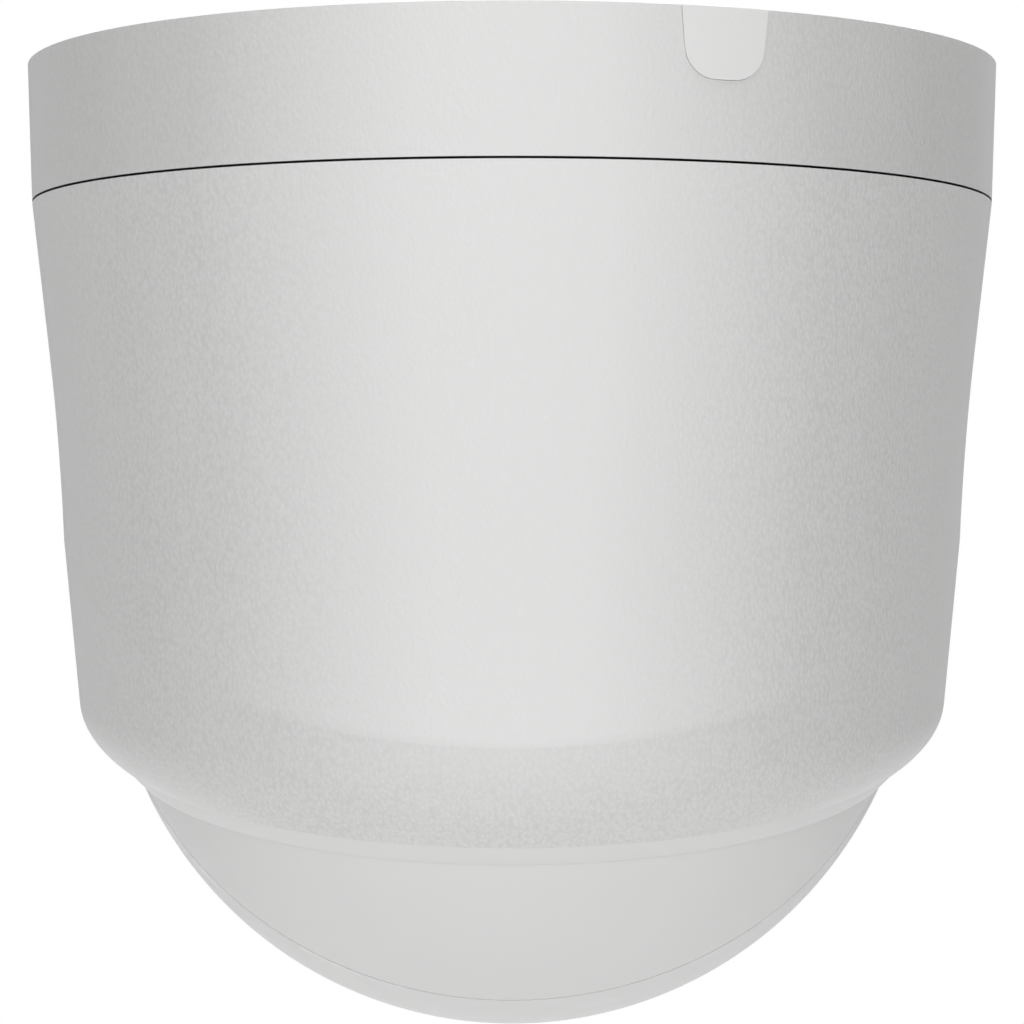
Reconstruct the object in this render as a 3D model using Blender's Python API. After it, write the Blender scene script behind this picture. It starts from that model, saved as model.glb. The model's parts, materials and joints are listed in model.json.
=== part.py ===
"""A pendant PTZ (pan, tilt, zoom) dome camera, as separate pieces.

The origin is the centre of the top mounting face. The camera hangs down along -Z and looks along +Y.
Lengths below are in millimetres; MM turns them into Blender's metres.
"""

import math

import bmesh
import bpy
from mathutils import Matrix, Vector

MM = 0.001
GAP = 0.3

# Whole camera
RING_TOP_RADIUS = 118.0
RING_BOTTOM_RADIUS = 116.94
RING_HEIGHT = 32.86
RING_EDGE_BEVEL = 0.8
SEAM_GAP = 0.44
TOTAL_HEIGHT = 232.6
BALL_RADIUS = 98.5
BALL_Z = BALL_RADIUS - TOTAL_HEIGHT
BALL_WALL = 2.5

# Housing: a cone below the seam, with a slanted crease and a rounded, slanted lower edge
HOUSING_TOP_Z = -RING_HEIGHT - SEAM_GAP
HOUSING_TOP_RADIUS = 116.93
HOUSING_WALL = 3.0
HOUSING_ROOF = 3.0
HOUSING_SEGMENTS = 64
ROOF_HOLE_RADIUS = 62.0
CONE_TAPER = 0.115
CREASE_SLANT = 0.47
CREASE_Z = -110.25
SWELL_HEIGHT = 46.6
SWELL = 1.7
WALL_LEAN = 0.097
REAR_WALL_LEAN = 0.3
ROUNDING_SLANT = 0.075
ROUNDING_Z = BALL_Z - 19.28
ROUNDING_LEAST_HEIGHT = 9.0
EDGE_SLANT = 0.213
EDGE_DROP = 28.8
EDGE_CLEARANCE = 3.9
BALL_RING_SLANT = 0.2004
BALL_RING_DROP = 35.5
TRIM_CLEARANCE = 0.5
TRIM_WALL = 1.6

# Front opening of the housing, and the clear strip in the ball
ARCH_HALF_WIDTH = 56.0
ARCH_TOP_Z = BALL_Z + 66.0
ARCH_STEPS = 14
BEZEL_WALL = 2.4
WINDOW_HALF_WIDTH = 44.0
WINDOW_LOW_DEG = -96.0
WINDOW_HIGH_DEG = 48.0
WINDOW_ROWS = 24
WINDOW_COLUMNS = 8
SEAL_WIDTH = 1.6
SHELL_SPLIT_TILT_DEG = -26.0
SHELL_SPLIT_OFFSET = -2.0
FRONT_SHELL_TOP = 78.0
REAR_SHELL_TOP = 45.0

# Cable plug in the fixed ring
PLUG_AZIMUTH_DEG = 22.9
PLUG_TOP_WIDTH = 20.6
PLUG_LOW_WIDTH = 19.2
PLUG_HEIGHT = 15.6
PLUG_CORNER = 7.4
PLUG_PROUD = 0.3

# Fixed side
COVER_WALL = 3.5
COVER_HOLE_RADIUS = 60.0
COVER_FLOOR = 3.0
PLATE_RADIUS = 112.0
PLATE_THICKNESS = 3.0
CHASSIS_RADIUS = 108.0
CHASSIS_FLOOR_TOP = -26.0
CHASSIS_FLOOR_BOTTOM = -29.0
BEARING_SEAT_RADIUS = 30.0
BEARING_SEAT_OUTER = 34.0
BEARING_SEAT_BOTTOM = -42.5
POST_CIRCLE_RADIUS = 92.0
POST_RADIUS = 5.5
SCREW_AZIMUTH_DEG = -26.3
CABLE_HOLE_RADIUS = 14.0
CABLE_HOLE_REAR = 48.0
GASKET_OUTER = 113.5
GASKET_INNER = 109.5
GASKET_BOTTOM = -6.0
BOARD_TOP = -15.0
BOARD_THICKNESS = 1.6

# Pan drive
GEAR_MODULE = 1.25
PAN_GEAR_TEETH = 60
PAN_PINION_TEETH = 12
PAN_GEAR_TOP = -36.0
PAN_GEAR_BOTTOM = -41.5
PAN_SHAFT_RADIUS = 0.5 * GEAR_MODULE * (PAN_GEAR_TEETH + PAN_PINION_TEETH)
BEARING_BALLS = 12
BEARING_BALL_RADIUS = 2.0
BEARING_BALL_CIRCLE = 24.0
HUB_RADIUS = 18.0
HUB_BORE_RADIUS = 14.0
TURRET_RADIUS = 106.0
TURRET_TOP = -37.3
TURRET_THICKNESS = 3.0
TURRET_DISH_TOP = -48.0
HOUSING_SCREW_CIRCLE = 96.0
CARRIER_OUTER = 61.0
CARRIER_INNER = 57.0

# Tilt drive
ARM_INNER_X = 40.0
ARM_THICKNESS = 4.0
ARM_HALF_WIDTH = 16.0
TRUNNION_RADIUS = 5.0
TILT_BEARING_RADIUS = 9.0
BEARING_FIT = 0.08
TILT_GEAR_TEETH = 38
TILT_PINION_TEETH = 12
TILT_GEAR_X = 30.0
TILT_GEAR_WIDTH = 5.0
TILT_SHAFT_RISE = 0.5 * GEAR_MODULE * (TILT_GEAR_TEETH + TILT_PINION_TEETH)

FAN_BLADES = 7
BLADE_PITCH_DEG = 32.0

# Camera module, which looks along +Y from the ball's centre
FRAME_HALF_WIDTH = 27.0
FRAME_HALF_HEIGHT = 25.0
FRAME_REAR = -46.0
FRAME_FRONT = 30.0
FRAME_WALL = 2.0
BARREL_RADIUS = 22.0
BARREL_BORE = 19.5
BARREL_REAR = -20.0
BARREL_FRONT = 64.0
FLANGE_RADIUS = 24.5
BARREL_END = 2.0
STOP_RADIUS = 13.0
LENS_SEAT_RADIUS = 20.2
LENS_SEAT = 57.0
LENS_TIP = 62.5
LENS_CROWN = 3.5
ROD_FRONT = 52.0
SHROUD_FRONT = 83.0
SHROUD_RADIUS = 40.0
CARRIER_DISC_RADIUS = 18.6
GROUP_LENS_RADIUS = 11.0
ROD_RISE = 15.0
ROD_RADIUS = 1.0

BALL_CENTRE = Vector((0.0, 0.0, BALL_Z))
PAN_SHAFT = Vector((0.0, -PAN_SHAFT_RADIUS, 0.0))
TILT_SHAFT = BALL_CENTRE + Vector((0.0, 0.0, TILT_SHAFT_RISE))
FAN_CENTRE = Vector((-72.0, -52.0, -46.0))

LOOKS = {
    "white_grain": ((0.83, 0.83, 0.82), 0.55, 0.0),
    "white_smooth": ((0.80, 0.80, 0.79), 0.42, 0.0),
    "black_plastic": ((0.02, 0.02, 0.022), 0.5, 0.0),
    "clear_dome": ((0.90, 0.93, 0.95), 0.03, 0.0),
    "lens_glass": ((0.12, 0.16, 0.22), 0.02, 0.0),
    "steel": ((0.62, 0.62, 0.62), 0.32, 1.0),
    "cast_aluminium": ((0.60, 0.61, 0.62), 0.5, 1.0),
    "rubber": ((0.03, 0.03, 0.03), 0.8, 0.0),
    "gear_plastic": ((0.86, 0.84, 0.78), 0.45, 0.0),
    "brass": ((0.75, 0.58, 0.28), 0.3, 1.0),
    "circuit_board": ((0.03, 0.22, 0.10), 0.45, 0.0),
    "connector_green": ((0.05, 0.40, 0.15), 0.5, 0.0),
    "filter_glass": ((0.35, 0.75, 0.80), 0.05, 0.0),
}


# ---------------------------------------------------------------------------------------------- tools


def clear_scene():
    for old in list(bpy.data.objects):
        bpy.data.objects.remove(old, do_unlink=True)


def make_materials():
    materials = {}
    for name, (colour, roughness, metallic) in LOOKS.items():
        material = bpy.data.materials.new(name)
        material.use_nodes = True
        shader = material.node_tree.nodes["Principled BSDF"]
        shader.inputs["Base Color"].default_value = (*colour, 1.0)
        shader.inputs["Roughness"].default_value = roughness
        shader.inputs["Metallic"].default_value = metallic
        materials[name] = material
    return materials


def put(name, shape, look, origin=(0.0, 0.0, 0.0), parent=None):
    """Makes the object of a bmesh whose points are world millimetres, with its origin where asked."""
    origin = Vector(origin)
    bmesh.ops.remove_doubles(shape, verts=shape.verts, dist=1e-4)
    bmesh.ops.recalc_face_normals(shape, faces=shape.faces)
    for vertex in shape.verts:
        vertex.co = (vertex.co - origin) * MM
    mesh = bpy.data.meshes.new(name)
    shape.to_mesh(mesh)
    shape.free()
    mesh.shade_smooth()
    mesh.set_sharp_from_angle(angle=math.radians(35.0))
    item = bpy.data.objects.new(name, mesh)
    item.location = origin * MM
    if look:
        mesh.materials.append(MATERIALS[look])
    if parent:
        item.parent = parent
        item.location = (origin * MM) - parent.matrix_world.translation
    bpy.context.scene.collection.objects.link(item)
    return item


def joint_empty(name, place, parent=None):
    """An empty on a joint's axis, which carries the pieces that the joint moves."""
    empty = bpy.data.objects.new(name, None)
    empty.location = place * MM
    if parent:
        empty.parent = parent
        empty.location = (place * MM) - parent.matrix_world.translation
    bpy.context.scene.collection.objects.link(empty)
    bpy.context.view_layer.update()
    return empty


def boolean(item, other, operation):
    other.hide_render = True
    other.display_type = "WIRE"
    step = item.modifiers.new(f"{operation.lower()}_{other.name}", "BOOLEAN")
    step.operation = operation
    step.object = other


def cut(item, *cutters):
    for cutter in cutters:
        boolean(item, cutter, "DIFFERENCE")


def circle(radius, segments, start=0.0, sweep=math.tau):
    """Points on an arc in 2-D; a full circle leaves out its last point."""
    steps = segments if abs(sweep) >= math.tau - 1e-9 else segments + 1
    angles = (start + sweep * i / segments for i in range(steps))
    return [(radius * math.cos(a), radius * math.sin(a)) for a in angles]


def grid(columns, close_columns=True):
    """A closed skin over columns of points, where each column is itself a closed loop."""
    shape = bmesh.new()
    rows = [[shape.verts.new(point) for point in column] for column in columns]
    count = len(rows)
    pairs = count if close_columns else count - 1
    for i in range(pairs):
        left, right = rows[i], rows[(i + 1) % count]
        for j in range(len(left)):
            k = (j + 1) % len(left)
            shape.faces.new((left[j], right[j], right[k], left[k]))
    if not close_columns:
        shape.faces.new(rows[0])
        shape.faces.new(rows[-1])
    return shape


def turned(profile, segments, centre=(0.0, 0.0, 0.0), axis="Z"):
    """A closed profile of (radius, height) turned about an axis through the centre."""
    turn = {"Z": Matrix.Identity(3), "X": Matrix.Rotation(math.pi / 2, 3, "Y"),
            "Y": Matrix.Rotation(-math.pi / 2, 3, "X")}[axis]
    centre = Vector(centre)
    shape = bmesh.new()
    rows = []
    for c, s in circle(1.0, segments):
        rows.append([shape.verts.new(centre + turn @ Vector((r * c, r * s, h))) for r, h in profile])
    for i in range(segments):
        left, right = rows[i], rows[(i + 1) % segments]
        for j in range(len(profile)):
            k = (j + 1) % len(profile)
            on_axis = profile[j][0] < 1e-9, profile[k][0] < 1e-9
            if all(on_axis):
                continue
            corners = [left[j], right[j], right[k], left[k]]
            if on_axis[0]:
                corners = [left[j], right[k], left[k]]
            if on_axis[1]:
                corners = [left[j], right[j], left[k]]
            shape.faces.new(corners)
    return shape


def tube(outer, inner, low, high):
    """The profile of a plain ring or sleeve."""
    return [(inner, low), (outer, low), (outer, high), (inner, high)]


def rod(radius, low, high):
    """The profile of a plain solid pin."""
    return [(0.0, low), (radius, low), (radius, high), (0.0, high)]


def prism(outline, low, high, axis="Z", centre=(0.0, 0.0, 0.0)):
    """A 2-D outline extruded along an axis. The outline lies in XY, XZ (axis Y) or YZ (axis X)."""
    order = {"Z": (0, 1, 2), "Y": (0, 2, 1), "X": (2, 0, 1)}[axis]
    shape = bmesh.new()
    centre = Vector(centre)
    ends = []
    for height in (low, high):
        points = [[(a, b, height)[k] for k in order] for a, b in outline]
        ends.append([shape.verts.new(centre + Vector(point)) for point in points])
    for j in range(len(outline)):
        k = (j + 1) % len(outline)
        shape.faces.new((ends[0][j], ends[0][k], ends[1][k], ends[1][j]))
    shape.faces.new(ends[0])
    shape.faces.new(ends[1])
    return shape


def box(low, high):
    outline = [(low[0], low[1]), (high[0], low[1]), (high[0], high[1]), (low[0], high[1])]
    return prism(outline, low[2], high[2])


def gear_outline(teeth, phase):
    """Straight-sided teeth with backlash. The first tooth is centred on the phase angle."""
    pitch = 0.5 * GEAR_MODULE * teeth
    root, tip = pitch - 1.25 * GEAR_MODULE, pitch + 0.95 * GEAR_MODULE
    step = math.tau / teeth
    outline = []
    for i in range(teeth):
        middle = phase + i * step
        for radius, offset in ((root, -0.28), (tip, -0.09), (tip, 0.09), (root, 0.28)):
            angle = middle + offset * step
            outline.append((radius * math.cos(angle), radius * math.sin(angle)))
    return outline


def gear_ring(teeth, phase, bore, low, high):
    """A toothed ring about Z with a round bore that has a point under each tooth corner."""
    shape = bmesh.new()
    outline = gear_outline(teeth, phase)
    loops = []
    for height in (low, high):
        outer = [shape.verts.new((x, y, height)) for x, y in outline]
        inner = []
        for x, y in outline[::4]:
            scale = bore / math.hypot(x, y)
            inner.append(shape.verts.new((x * scale, y * scale, height)))
        loops.append((outer, inner))
    (low_outer, low_inner), (high_outer, high_inner) = loops
    for j in range(len(outline)):
        k = (j + 1) % len(outline)
        shape.faces.new((low_outer[j], low_outer[k], high_outer[k], high_outer[j]))
    for i in range(teeth):
        k = (i + 1) % teeth
        shape.faces.new((low_inner[k], low_inner[i], high_inner[i], high_inner[k]))
        for outer, inner in loops:
            around = [outer[(4 * i + j) % len(outer)] for j in range(5)]
            shape.faces.new(around + [inner[k], inner[i]])
    return shape


# -------------------------------------------------------------------------------- the outside surfaces


def cone_radius(z, y):
    """The housing above its crease: a cone that swells a little toward the slanted crease."""
    depth = HOUSING_TOP_Z - z
    radius = HOUSING_TOP_RADIUS - CONE_TAPER * depth
    above_crease = z - CREASE_Z - CREASE_SLANT * y
    swell = min(max((SWELL_HEIGHT + 1.0 - above_crease) / SWELL_HEIGHT, 0.0), 1.0)
    return radius + SWELL * swell * swell


def point_on_cone(direction, z):
    radius = HOUSING_TOP_RADIUS
    for _ in range(4):
        radius = cone_radius(z, radius * direction.y)
    return radius


def crease_point(direction):
    """Where the crease plane meets the cone: its radius and height."""
    radius = HOUSING_TOP_RADIUS
    for _ in range(12):
        z = min(CREASE_Z + CREASE_SLANT * radius * direction.y, HOUSING_TOP_Z - 20.0)
        radius = point_on_cone(direction, z)
    return radius, z


def ring_point(direction, sphere_radius, drop, slant):
    """Where a slanted plane meets a sphere about the ball's centre: its radius and height."""
    lean = slant * direction.y
    a = 1.0 + lean * lean
    b = -2.0 * drop * lean
    c = drop * drop - sphere_radius * sphere_radius
    radius = (-b + math.sqrt(b * b - 4.0 * a * c)) / (2.0 * a)
    return radius, BALL_Z - drop + lean * radius


def rounding(start, slope, end, steps):
    """An arc that leaves the start along the slope (inward over downward) and ends at the end point."""
    across, down = end[0] - start[0], end[1] - start[1]
    chord = math.hypot(across, down)
    tangent = math.atan2(-1.0, -slope)
    turn = math.atan2(down, across) - tangent
    turn = math.atan2(math.sin(turn), math.cos(turn))
    radius = chord / (2.0 * math.sin(abs(turn)))
    points = []
    for i in range(1, steps + 1):
        part = 2.0 * turn * i / steps
        reach = 2.0 * radius * math.sin(abs(part) / 2.0)
        angle = tangent + part / 2.0
        points.append((start[0] + reach * math.cos(angle), start[1] + reach * math.sin(angle)))
    return points


def housing_outline(direction, steps=5):
    """The outer surface in one vertical half-plane, from the top edge down to the slanted lower edge."""
    crease_radius, crease_z = crease_point(direction)
    heights = [HOUSING_TOP_Z + (crease_z - HOUSING_TOP_Z) * i / 4 for i in range(4)]
    points = [(point_on_cone(direction, z), z) for z in heights]
    points[0] = (points[0][0], HOUSING_TOP_Z)
    points.append((crease_radius, crease_z))
    edge = ring_point(direction, BALL_RADIUS + EDGE_CLEARANCE, EDGE_DROP, EDGE_SLANT)
    start_z = ROUNDING_Z + ROUNDING_SLANT * crease_radius * direction.y
    start_z = max(start_z, edge[1] + ROUNDING_LEAST_HEIGHT)
    lean = WALL_LEAN + REAR_WALL_LEAN * max(0.0, -direction.y) ** 4
    start_radius = crease_radius - lean * (crease_z - start_z)
    points.append((start_radius, start_z))
    points.extend(rounding((start_radius, start_z), lean, edge, steps))
    return points


def at(direction, radius, z):
    return Vector((radius * direction.x, radius * direction.y, z))


def directions(segments):
    return [Vector((x, y, 0.0)) for x, y in circle(1.0, segments)]


def sphere_bowl(pole, outer, wall, rim_distance, rings, segments):
    """Part of a hollow sphere about a pole direction, ending at a plane this far from the centre."""
    turn = pole.to_track_quat("Z", "Y").to_matrix()
    shape = bmesh.new()
    skins = []
    for radius in (outer, outer - wall):
        end = math.acos(rim_distance / radius)
        rows = []
        for i in range(1, rings + 1):
            polar = end * i / rings
            height, reach = radius * math.cos(polar), radius * math.sin(polar)
            ring = circle(reach, segments)
            rows.append([shape.verts.new(BALL_CENTRE + turn @ Vector((x, y, height))) for x, y in ring])
        tip = shape.verts.new(BALL_CENTRE + turn @ Vector((0.0, 0.0, radius)))
        for i in range(segments):
            k = (i + 1) % segments
            shape.faces.new((tip, rows[0][i], rows[0][k]))
            for upper, lower in zip(rows, rows[1:]):
                shape.faces.new((upper[i], lower[i], lower[k], upper[k]))
        skins.append(rows[-1])
    for i in range(segments):
        k = (i + 1) % segments
        shape.faces.new((skins[0][i], skins[1][i], skins[1][k], skins[0][k]))
    return shape


def strip_point(radius, x, elevation):
    """A point on a sphere about the ball's centre, at a sideways place and an elevation about X."""
    reach = math.sqrt(radius * radius - x * x)
    return BALL_CENTRE + Vector((x, reach * math.cos(elevation), reach * math.sin(elevation)))


def sphere_strip(outer, inner, half_width, low_deg, high_deg):
    """A strip of hollow sphere that runs over the front, from the low elevation to the high one."""
    low, high = math.radians(low_deg), math.radians(high_deg)
    rows, columns = WINDOW_ROWS, WINDOW_COLUMNS
    shape = bmesh.new()
    skins = []
    for radius in (outer, inner):
        skin = []
        for i in range(rows + 1):
            elevation = low + (high - low) * i / rows
            across = [half_width * (2.0 * j / columns - 1.0) for j in range(columns + 1)]
            skin.append([shape.verts.new(strip_point(radius, x, elevation)) for x in across])
        skins.append(skin)
        for i in range(rows):
            for j in range(columns):
                shape.faces.new((skin[i][j], skin[i][j + 1], skin[i + 1][j + 1], skin[i + 1][j]))
    edges = []
    for skin in skins:
        bottom, top = skin[0], skin[-1]
        right = [row[-1] for row in skin[1:-1]]
        left = [row[0] for row in skin[1:-1]]
        edges.append(bottom + right + top[::-1] + left[::-1])
    for j in range(len(edges[0])):
        k = (j + 1) % len(edges[0])
        shape.faces.new((edges[0][j], edges[1][j], edges[1][k], edges[0][k]))
    return shape


def arch_outline(half_width, top_z, foot_z):
    """A round-topped arch in X and Z, open ends joined at its foot."""
    middle = top_z - half_width
    round_part = [(half_width * math.cos(a), middle + half_width * math.sin(a))
                  for a in (math.pi * i / ARCH_STEPS for i in range(ARCH_STEPS + 1))]
    return [(half_width, foot_z)] + round_part + [(-half_width, foot_z)]


# ------------------------------------------------------------------------------------------ fixed side


def plug_outline(grow, top):
    """The U-shaped notch: a narrowing strip with rounded lower corners. X is across, Z is up."""
    flare = (PLUG_TOP_WIDTH - PLUG_LOW_WIDTH) / 2.0 / (PLUG_HEIGHT - PLUG_CORNER)
    half_top = PLUG_TOP_WIDTH / 2.0 + grow + flare * top
    half_low = PLUG_LOW_WIDTH / 2.0 + grow
    floor = -PLUG_HEIGHT - grow
    corner = PLUG_CORNER + grow
    points = [(-half_top, top)]
    for side, start in ((-1.0, math.pi), (1.0, 1.5 * math.pi)):
        middle = (side * (half_low - corner), floor + corner)
        for x, z in circle(corner, 4, start, math.pi / 2):
            points.append((middle[0] + x, middle[1] + z))
    points.append((half_top, top))
    return points


def plug_turn():
    return Matrix.Rotation(math.radians(PLUG_AZIMUTH_DEG), 4, "Z")


def ring_radius_at(z):
    return RING_TOP_RADIUS + (RING_TOP_RADIUS - RING_BOTTOM_RADIUS) * z / RING_HEIGHT


def base_cover():
    inner_top = RING_TOP_RADIUS - COVER_WALL
    floor_top = -RING_HEIGHT + COVER_FLOOR
    bevel = RING_EDGE_BEVEL
    profile = [
        (COVER_HOLE_RADIUS, -RING_HEIGHT), (RING_BOTTOM_RADIUS, -RING_HEIGHT),
        (RING_TOP_RADIUS, -bevel), (RING_TOP_RADIUS - 0.3 * bevel, -0.3 * bevel),
        (RING_TOP_RADIUS - bevel, 0.0),
        (inner_top, 0.0), (inner_top, floor_top), (COVER_HOLE_RADIUS, floor_top),
    ]
    cover = put("base_cover", turned(profile, 88), "white_grain")
    notch = prism(plug_outline(GAP, 4.0), -RING_TOP_RADIUS - 8.0, -RING_TOP_RADIUS + 14.0, "Y")
    bmesh.ops.transform(notch, matrix=plug_turn(), verts=notch.verts)
    cut(cover, put("cutter_notch", notch, None))


def conduit_plug(parent):
    """The cable plug: it follows the ring's face, a little proud, and lifts out of its notch."""
    outline = plug_outline(0.0, 0.0)
    shape = bmesh.new()
    skins = []
    for inset in (-PLUG_PROUD, COVER_WALL):
        skin = []
        for x, z in outline:
            radius = ring_radius_at(z) - inset
            skin.append(shape.verts.new((x, -math.sqrt(radius * radius - x * x), z)))
        skins.append(skin)
    for j in range(len(outline)):
        k = (j + 1) % len(outline)
        shape.faces.new((skins[0][j], skins[0][k], skins[1][k], skins[1][j]))
    shape.faces.new(skins[0])
    shape.faces.new(skins[1])
    bmesh.ops.triangulate(shape, faces=[face for face in shape.faces if len(face.verts) > 4])
    bmesh.ops.transform(shape, matrix=plug_turn(), verts=shape.verts)
    put("conduit_plug", shape, "white_smooth", parent.location / MM, parent)


def mounting_plate():
    plate = put("mounting_plate", turned(rod(PLATE_RADIUS, -PLATE_THICKNESS, 0.0), 48), "steel")
    cable_hole = turned(rod(CABLE_HOLE_RADIUS, -10.0, 5.0), 22, (0.0, -CABLE_HOLE_REAR, 0.0))
    cut(plate, put("cutter_cable", cable_hole, None))
    countersink = [(0.0, -10.0), (2.6, -10.0), (2.6, -2.0), (5.4, 0.8), (5.4, 5.0), (0.0, 5.0)]
    for i in range(3):
        x, y = screw_place(i)
        cut(plate, put(f"cutter_screw_{i + 1}", turned(countersink, 16, (x, y, 0.0)), None))


def screw_place(i):
    angle = math.radians(SCREW_AZIMUTH_DEG + 120.0 * i)
    return POST_CIRCLE_RADIUS * math.cos(angle), POST_CIRCLE_RADIUS * math.sin(angle)


def plate_screws():
    """Countersunk screws that hold the mounting plate on the chassis posts."""
    shank, head, socket = 2.0, 4.1, 1.6
    tip_z, neck_z, head_z, socket_z = -12.0, -2.2, -0.2, -1.4
    profile = [(0.0, tip_z), (shank, tip_z), (shank, neck_z), (head, head_z), (socket, head_z),
               (socket - 0.3, socket_z), (0.0, socket_z)]
    for i in range(3):
        x, y = screw_place(i)
        put(f"plate_screw_{i + 1}", turned(profile, 12, (x, y, 0.0)), "steel")


def base_gasket():
    profile = tube(GASKET_OUTER, GASKET_INNER, GASKET_BOTTOM, -PLATE_THICKNESS - GAP)
    put("base_gasket", turned(profile, 36), "rubber")


def base_chassis():
    """Die-cast tray with the pan bearing's seat below, and a post under each plate screw."""
    bore, wall_top = 12.0, -8.0
    inner = CHASSIS_RADIUS - 3.0
    profile = [
        (bore, CHASSIS_FLOOR_TOP), (bore, CHASSIS_FLOOR_BOTTOM), (BEARING_SEAT_RADIUS, CHASSIS_FLOOR_BOTTOM),
        (BEARING_SEAT_RADIUS, BEARING_SEAT_BOTTOM), (BEARING_SEAT_OUTER, BEARING_SEAT_BOTTOM),
        (BEARING_SEAT_OUTER, CHASSIS_FLOOR_BOTTOM), (CHASSIS_RADIUS, CHASSIS_FLOOR_BOTTOM),
        (CHASSIS_RADIUS, wall_top), (inner, wall_top), (inner, CHASSIS_FLOOR_TOP),
    ]
    chassis = put("base_chassis", turned(profile, 32), "cast_aluminium")
    for i in range(3):
        x, y = screw_place(i)
        post = turned(rod(POST_RADIUS, CHASSIS_FLOOR_TOP - 1.0, -PLATE_THICKNESS - GAP), 16, (x, y, 0.0))
        boolean(chassis, put(f"post_{i + 1}", post, None), "UNION")
        hole = turned(rod(2.3, -14.0, 0.0), 11, (x, y, 0.0))
        cut(chassis, put(f"cutter_thread_{i + 1}", hole, None))
    for i in range(4):
        x, y = (-36.0, 36.0)[i % 2], (40.0, 76.0)[i // 2]
        boss = rod(2.5, CHASSIS_FLOOR_TOP - 1.0, BOARD_TOP - BOARD_THICKNESS - GAP)
        boolean(chassis, put(f"boss_{i + 1}", turned(boss, 10, (x, y, 0.0)), None), "UNION")


def base_electronics():
    board_top = BOARD_TOP
    board_low = board_top - BOARD_THICKNESS
    board = put("connector_board", box((-40.0, 28.0, board_low), (40.0, 80.0, board_top)), "circuit_board")
    notch = box((-12.0, 20.0, board_top - 5.0), (12.0, 36.0, board_top + 5.0))
    cut(board, put("cutter_board_notch", notch, None))
    jack = put("network_jack", box((-36.0, 52.0, board_top + GAP / 3), (-20.0, 73.0, -3.8)), "steel")
    cut(jack, put("cutter_jack", box((-34.5, 40.0, -13.6), (-21.5, 66.0, -5.4)), None))
    block = box((8.0, 56.0, board_top + GAP / 3), (28.0, 66.0, -5.0))
    terminal = put("power_terminal", block, "connector_green")
    for i in range(3):
        x = 11.2 + 6.8 * i
        way = box((x - 1.9, 50.0, -12.5), (x + 1.9, 62.0, -8.0))
        cut(terminal, put(f"cutter_way_{i + 1}", way, None))


def pan_ring_gear():
    bore = BEARING_SEAT_OUTER + GAP
    shape = gear_ring(PAN_GEAR_TEETH, -math.pi / 2, bore, PAN_GEAR_BOTTOM, PAN_GEAR_TOP)
    put("pan_ring_gear", shape, "gear_plastic")


def pan_bearing(turret, cage):
    outer = BEARING_BALL_CIRCLE + BEARING_BALL_RADIUS + 0.2
    inner = BEARING_BALL_CIRCLE - BEARING_BALL_RADIUS - 0.2
    low, high = -42.0, -34.0
    put("pan_bearing_outer", turned(tube(BEARING_SEAT_RADIUS - GAP, outer, low, high), 28), "steel")
    inner_ring = turned(tube(inner, HUB_RADIUS + GAP, low, high), 28)
    put("pan_bearing_inner", inner_ring, "steel", (0, 0, 0), turret)
    middle = (low + high) / 2.0
    half_wide, half_tall = 0.7, 0.8
    ring = tube(BEARING_BALL_CIRCLE + half_wide, BEARING_BALL_CIRCLE - half_wide, middle - half_tall,
                middle + half_tall)
    item = put("pan_bearing_balls", turned(ring, 24), "steel", (0, 0, 0), cage)
    arc = [(r, middle + z) for r, z in circle(BEARING_BALL_RADIUS, 3, -math.pi / 2, math.pi)]
    arc[0] = (0.0, middle - BEARING_BALL_RADIUS)
    arc[-1] = (0.0, middle + BEARING_BALL_RADIUS)
    for i, (x, y) in enumerate(circle(BEARING_BALL_CIRCLE, BEARING_BALLS)):
        ball = put(f"ball_{i + 1}", turned(arc, 7, (x, y, 0.0)), None)
        boolean(item, ball, "UNION")


def slip_ring(turret):
    """The fixed stator hangs in the hollow hub; the rotor below it turns with the turret."""
    stator = [(0.0, -47.5), (11.0, -47.5), (11.0, -25.7), (17.0, -25.7), (17.0, -23.2), (9.0, -23.2),
              (9.0, -19.0), (0.0, -19.0)]
    put("slip_ring_stator", turned(stator, 18), "black_plastic")
    rotor = [(0.0, -60.0), (7.0, -60.0), (7.0, -53.6), (21.0, -53.6), (21.0, -51.3), (9.0, -51.3),
             (9.0, -47.8), (0.0, -47.8)]
    put("slip_ring_rotor", turned(rotor, 18), "black_plastic", (0, 0, 0), turret)


# -------------------------------------------------------------------------------------------- pan body


def housing_hull(segments, outset):
    """A closed solid with the housing's outer surface, moved out or in."""
    shape = bmesh.new()
    columns = []
    for direction in directions(segments):
        outline = [(r + outset, z) for r, z in housing_outline(direction)]
        columns.append([shape.verts.new(at(direction, r, z)) for r, z in outline])
    for i in range(segments):
        left, right = columns[i], columns[(i + 1) % segments]
        for j in range(len(left) - 1):
            shape.faces.new((left[j], left[j + 1], right[j + 1], right[j]))
    shape.faces.new([column[0] for column in columns])
    shape.faces.new([column[-1] for column in columns])
    bmesh.ops.triangulate(shape, faces=[face for face in shape.faces if len(face.verts) > 4])
    return shape


def arch_cutter(name):
    """The front opening, as a solid to cut away."""
    outline = arch_outline(ARCH_HALF_WIDTH, ARCH_TOP_Z, BALL_Z - 60.0)
    return put(name, prism(outline, 40.0, 140.0, "Y"), None)


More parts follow.
